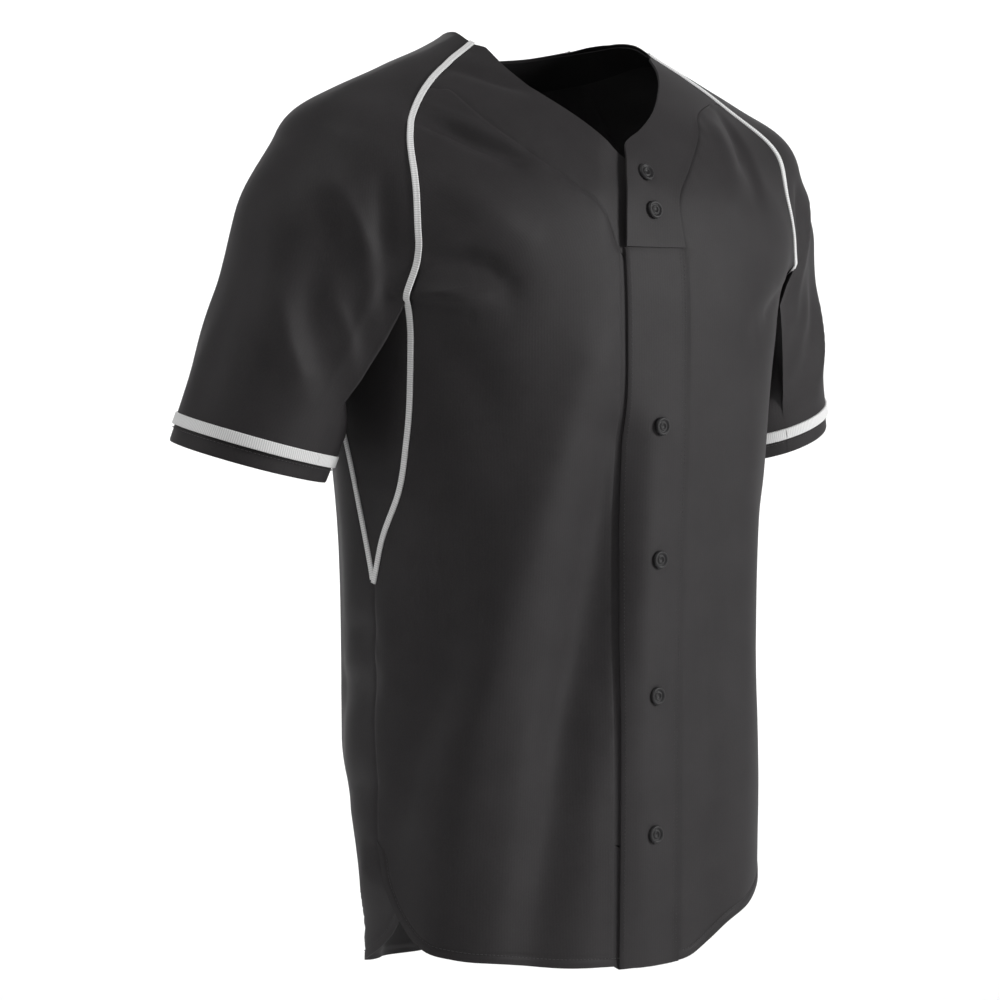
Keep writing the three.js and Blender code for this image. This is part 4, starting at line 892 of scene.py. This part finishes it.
for side in SLEEVES:
    piping(side, "front", front_raglan[side], -10, gusset_front[side], 1, 0.15)
    piping(side, "back", back_raglan, -5, gusset_back, 4, 0)


# Cuffs
# A narrow band of the knit folded double at the end of each sleeve and set a little inside it, with
# the wider braid sewn over the seam.
CUFF_PROFILE = [(-1, -0.2), (-1, 0.6), (-0.94, 0.95), (-0.8, 1), (0, 0.94), (0.8, 1), (0.94, 0.95), (1, 0.6),
                (1, -0.2)]


def cuff(side, tube_row):
    end = SLEEVES[side]["length"]
    braid_to = end - CUFF_BAND
    seam_at = braid_to - CUFF_BRAID_WIDTH / 2
    along = np.concatenate([np.linspace(seam_at, end - 1.2, 14), [end - 0.5, end]])
    inset = -CUFF_INSET - 0.5 * np.exp(-((along - end) / 0.7)**2)
    rows = [tube_row(a, i) for a, i in zip(along, inset)]
    band = cloth_shell(f"cuff_band_{side}_cloth", np.array([row for row, _ in rows]),
                       np.array([way for _, way in rows]), KNIT, DOUBLE_THICK, ring=True)
    sewn(band, "cloth", f"cuff_band_{side}")
    middle, ways = tube_row(seam_at, 0.3)
    braid = laid_braid(f"cuff_braid_{side}_braid", middle, ways, CUFF_BRAID_WIDTH, CUFF_PROFILE, closed=True)
    sewn(braid, "braid", f"cuff_braid_{side}")


for side in SLEEVES:
    cuff(side, sleeve_forms[side][2])


# Stitching
# Lockstitch in spun polyester thread a little lighter than the knit: short stitches, sunk at both
# ends, along both edges of the placket, the hems and the cuffs.
STITCH = 2.3
STITCH_GAP = 1.0
ROW_INSET = 3          # from the placket's edge to a row
ROW_GAP = 3.4          # between the two rows at its sewn edge
STITCH_WIDE = 0.55
STITCH_HIGH = 0.3
STITCH_SUNK = 0.12
STITCH_THICK = 0.25


def spun_thread():
    material, tree = new_material("spun polyester thread")
    place = add_node(tree, "TexCoord")
    twist = add_node(tree, "TexNoise", {"Scale": 2500.0, "Detail": 2.0}, {"Vector": place.outputs["Object"]})
    bump = add_node(tree, "Bump", {"Strength": 0.3, "Distance": 0.0001}, {"Height": twist.outputs["Fac"]})
    shader = add_node(tree, "BsdfPrincipled",
                      {"Base Color": linear("#3c3a3b"), "Roughness": 0.6, "IOR": 1.5,
                       "Specular IOR Level": 0.3, "Sheen Weight": 0.1, "Sheen Roughness": 0.5},
                      {"Normal": bump.outputs["Normal"]})
    add_node(tree, "OutputMaterial", links={"Surface": shader.outputs["BSDF"]})
    return material


THREAD = spun_thread()


def stitches(name, lines):
    """One row of stitches along each line, given as its places and the ways that face out of the cloth."""
    corners, faces = [], []
    for points, ways in lines:
        run = np.concatenate([[0], np.cumsum(np.linalg.norm(np.diff(points, axis=0), axis=-1))])
        starts = np.arange(2, run[-1] - STITCH - 1, STITCH + STITCH_GAP)
        at = starts[:, None] + np.array([0, STITCH / 2, STITCH])
        middle = np.stack([np.interp(at, run, points[:, i]) for i in range(3)], -1)
        out = unit(np.stack([np.interp(at, run, ways[:, i]) for i in range(3)], -1))
        along = unit(middle[:, 2:] - middle[:, :1])
        aside = np.cross(along, out) * STITCH_WIDE / 2
        crown = middle + out * np.array([-STITCH_SUNK, STITCH_HIGH, -STITCH_SUNK])[:, None]
        edge = out * STITCH_THICK
        ring = np.stack([crown + aside - edge, crown, crown - aside - edge], 2)
        # A stitch has three rows of three corners
        base = len(corners) + 9 * np.arange(len(ring))[:, None]
        quads = [[0, 3, 4, 1], [1, 4, 5, 2], [3, 6, 7, 4], [4, 7, 8, 5], [2, 5, 3, 0], [5, 8, 6, 3]]
        faces += [face for quad in quads for face in (base + quad).tolist()]
        faces += (base + [0, 1, 2]).tolist() + (base + [6, 8, 7]).tolist()
        corners += ring.reshape(-1, 3).tolist()
    return sewn(make_piece(name, corners, faces, THREAD), "cloth")


def hem_row(angle, z, tuck=None):
    """A line on the cloth where a hem is stitched, from the angles and heights of its edge."""
    points, ways = on_body(angle, z)
    inward = unit(np.cross(ways, np.gradient(points, axis=0)))
    inward *= np.sign(inward[len(inward) // 2, 2])
    place = points + inward * HEM_TURN
    angle = np.degrees(np.arctan2(place[:, 0], -place[:, 1]))
    points, ways = on_body(angle, place[:, 2], 0.1)
    if tuck:
        points = points + ways * tuck(np.abs(angle), place[:, 2])[:, None]
    return points, ways


def placket_rows():
    sewn_row = PLACKET_SEWN - ROW_INSET
    for x in (PLACKET_FREE + ROW_INSET, sewn_row, sewn_row - ROW_GAP):
        z = np.linspace(PLACKET_TOP - 2, -745, 300)
        yield on_body(front_angle(x, z), z, PLACKET_PROUD + sewn_rise(x))


def hem_rows():
    for sign, rows in ((-1, HEM_RIGHT), (1, HEM_LEFT)):
        angle = np.linspace(6 if sign < 0 else 15, 87.5, 240)
        yield hem_row(sign * angle, curve(rows, "z", "angle")(angle))
    angle = np.linspace(84, 276, 400)
    yield hem_row(angle, curve(HEM_BACK, "z", "angle")(np.minimum(angle, 360 - angle)), tail_tuck)


def cuff_rows():
    for side in SLEEVES:
        row, way = sleeve_forms[side][2](SLEEVES[side]["length"] - CUFF_BAND + 2.5, 0.1)
        yield np.concatenate([row, row[:1]]), np.concatenate([way, way[:1]])


for sewn_part, lines in (("placket", placket_rows()), ("hem", hem_rows()), ("cuff", cuff_rows())):
    stitches(f"{sewn_part}_stitching", lines)


# Neck facing
# A strip of the same knit inside the back of the neck, sewn in with the neck edge and turned under
# below. Its colour is painted darker than the outside, as painted shade for the shade of the collar it lies
# in.
# Painted shade: the facing's knit is coloured darker than the outside because it lies in the shade inside the
# neck
PAINTED_SHADE_FACING_KNIT = double_knit("knit painted with the neck's shade", "#161516", "#1b1a1b", 0.03)
FACING_WIDTH = 33
FACING_THICK = 0.8
FACING_GAP = 1.3       # between it and the inside of the back
FACING_EDGE = 81       # where it ends at the front raglan seams, as an angle


def neck_facing():
    angle = np.linspace(FACING_EDGE, 360 - FACING_EDGE, 100)
    side_angle = np.minimum(angle, 360 - angle)
    top = neck_back(side_angle)
    steep = np.hypot(*outward(form_depth, bare_body(angle, top - 8))[:, :2].T)
    v = np.linspace(0, 1, 12)[:, None]
    z = top - 1 - v * FACING_WIDTH * steep
    points, ways = on_body(np.broadcast_to(angle, z.shape), z, -CLOTH_THICK - FACING_GAP)
    piece = cloth_shell("neck_facing_cloth", points, ways, PAINTED_SHADE_FACING_KNIT, FACING_THICK)
    return sewn(piece, "facing", "neck_facing")


facing = neck_facing()


# Buttons
# Six buttons of moulded black polyester, 15 mm across, with a thick rolled rim and a small ring round
# the middle of a sunk well. They are sewn to the right front and buttoned through the placket.
BUTTON_HEIGHTS = [-116, -146, -319, -426, -536, -648]
# Each row is a distance from the button's middle and a height: back, rim, well, ring, middle
BUTTON_PROFILE = [(0, 0.2), (6.2, 0.2), (7.1, 0.7), (7.5, 1.5), (7.4, 2.4), (6.9, 3.1), (6.1, 3.35),
                  (5.3, 3.1), (4.6, 2.5), (4.1, 2.2), (3.6, 2.3), (3.1, 2.75), (2.7, 2.85), (2.3, 2.6),
                  (2.0, 2.2), (0, 2.1)]
BUTTON_SIDES = 40


def moulded_polyester():
    material, tree = new_material("moulded polyester button")
    place = add_node(tree, "TexCoord")
    mottle = add_node(tree, "TexNoise", {"Scale": 300.0, "Detail": 3.0}, {"Vector": place.outputs["Object"]})
    tone = add_node(tree, "Mix", {"data_type": "RGBA", 6: linear("#201f20"), 7: linear("#292829")},
                    {"Factor": mottle.outputs["Fac"]})
    bump = add_node(tree, "Bump", {"Strength": 0.08, "Distance": 0.0001}, {"Height": mottle.outputs["Fac"]})
    shader = add_node(tree, "BsdfPrincipled", {"Roughness": 0.5, "IOR": 1.5, "Specular IOR Level": 0.3},
                      {"Base Color": tone.outputs[2], "Normal": bump.outputs["Normal"]})
    add_node(tree, "OutputMaterial", links={"Surface": shader.outputs["BSDF"]})
    return material


BUTTON_PLASTIC = moulded_polyester()


def button(number, z):
    seat, way = on_body(front_angle(0, z), z, PLACKET_PROUD)
    up = unit(np.array([0, 0, 1.0]) - way * way[2])
    side = np.cross(up, way)
    turn = np.linspace(0, 2 * math.pi, BUTTON_SIDES, endpoint=False)
    back, *profile, front = BUTTON_PROFILE
    rings = [[side * (r * math.cos(a)) + up * (r * math.sin(a)) + way * h for a in turn] for r, h in profile]
    points = [way * back[1]] + [place for ring in rings for place in ring] + [way * front[1]]
    faces = []
    last = len(points) - 1
    for i in range(BUTTON_SIDES):
        j = (i + 1) % BUTTON_SIDES
        faces.append([0, 1 + j, 1 + i])
        for k in range(len(rings) - 1):
            low, high = 1 + k * BUTTON_SIDES, 1 + (k + 1) * BUTTON_SIDES
            faces.append([low + i, low + j, high + j, high + i])
        faces.append([last, last - BUTTON_SIDES + i, last - BUTTON_SIDES + j])
    piece = make_piece(f"button_{number}_moulding", seat + points, faces, BUTTON_PLASTIC, crease=180)
    return sewn(piece, "button", f"button_{number}")


for number, z in enumerate(BUTTON_HEIGHTS, 1):
    button(number, z)


# The studio
# A floor of matt white paper that sweeps up behind, soft light from three panels on the jersey and
# one on the paper, and the photograph's viewing angle.
CAMERA_TURN = math.radians(40)   # from the middle of the front towards the wearer's right
CAMERA_RISE = math.radians(2)
CAMERA_AWAY = 3200
TARGET = (-29.9, 25.1, -382)
LENS = 138.8

look = Vector((math.sin(CAMERA_TURN) * math.cos(CAMERA_RISE), math.cos(CAMERA_TURN) * math.cos(CAMERA_RISE),
               -math.sin(CAMERA_RISE)))
camera_data = bpy.data.cameras.new("camera")
camera_data.lens = LENS
camera_data.sensor_width = 36
camera_data.clip_end = 50
camera = bpy.data.objects.new("camera", camera_data)
camera.location = (Vector(TARGET) - look * CAMERA_AWAY) * MM
camera.rotation_mode = "QUATERNION"
camera.rotation_quaternion = look.to_track_quat("-Z", "Y")
bpy.context.scene.collection.objects.link(camera)
bpy.context.scene.camera = camera

SWEEP_FLOOR = -1050
SWEEP_BACK = 3300
SWEEP_RADIUS = 1400
SWEEP_TOP = 4500
SWEEP_REACH = 9000     # how far the paper runs to the front and to both sides
paper, paper_tree = new_material("matt white paper")
matt = add_node(paper_tree, "BsdfPrincipled",
                {"Base Color": linear("#f6f6f6"), "Roughness": 0.95, "Specular IOR Level": 0.1})
add_node(paper_tree, "OutputMaterial", links={"Surface": matt.outputs["BSDF"]})
bend = np.linspace(0, math.pi / 2, 25)
run = np.concatenate([[-SWEEP_REACH], SWEEP_BACK + SWEEP_RADIUS * np.sin(bend), [SWEEP_BACK + SWEEP_RADIUS]])
rise = np.concatenate([[0], SWEEP_RADIUS * (1 - np.cos(bend)), [SWEEP_TOP]]) + SWEEP_FLOOR
level = np.array([look.x, look.y, 0]) / math.hypot(look.x, look.y)
aside = np.cross(level, (0, 0, 1))
sweep_points = [level * away + aside * side * SWEEP_REACH + (0, 0, height)
                for away, height in zip(run, rise) for side in (-1, 1)]
sweep_faces = [(2 * i, 2 * i + 1, 2 * i + 3, 2 * i + 2) for i in range(len(run) - 1)]
sweep = make_piece("floor", sweep_points, sweep_faces, paper, crease=180)


def soft_light(name, place, aim, size, power):
    """A panel of light, in metres and watts."""
    light = bpy.data.lights.new(name, "AREA")
    light.shape = "RECTANGLE"
    light.size, light.size_y = size
    light.energy = power
    lamp = bpy.data.objects.new(name, light)
    lamp.location = place
    lamp.rotation_mode = "QUATERNION"
    lamp.rotation_quaternion = (Vector(aim) - Vector(place)).to_track_quat("-Z", "Y")
    bpy.context.scene.collection.objects.link(lamp)


CHEST = (0, 0, -0.38)
soft_light("key", (1.95, -2.5, 0.4), CHEST, (0.9, 1.1), 80)
soft_light("top", (-1.6, -0.5, 1.7), CHEST, (1.2, 1.0), 24)
soft_light("rim", (-2.3, 1.6, 0.5), CHEST, (0.8, 1.8), 10)
soft_light("backdrop", (0.8, 1.6, 3.0), (2.9, 4.5, 0.6), (2.5, 1.5), 180)
world = bpy.data.worlds.new("studio")
world.use_nodes = True
world.node_tree.nodes["Background"].inputs["Color"].default_value = linear("#ffffff")
world.node_tree.nodes["Background"].inputs["Strength"].default_value = 0.12
bpy.context.scene.view_settings.view_transform = "Standard"
bpy.context.scene.world = world
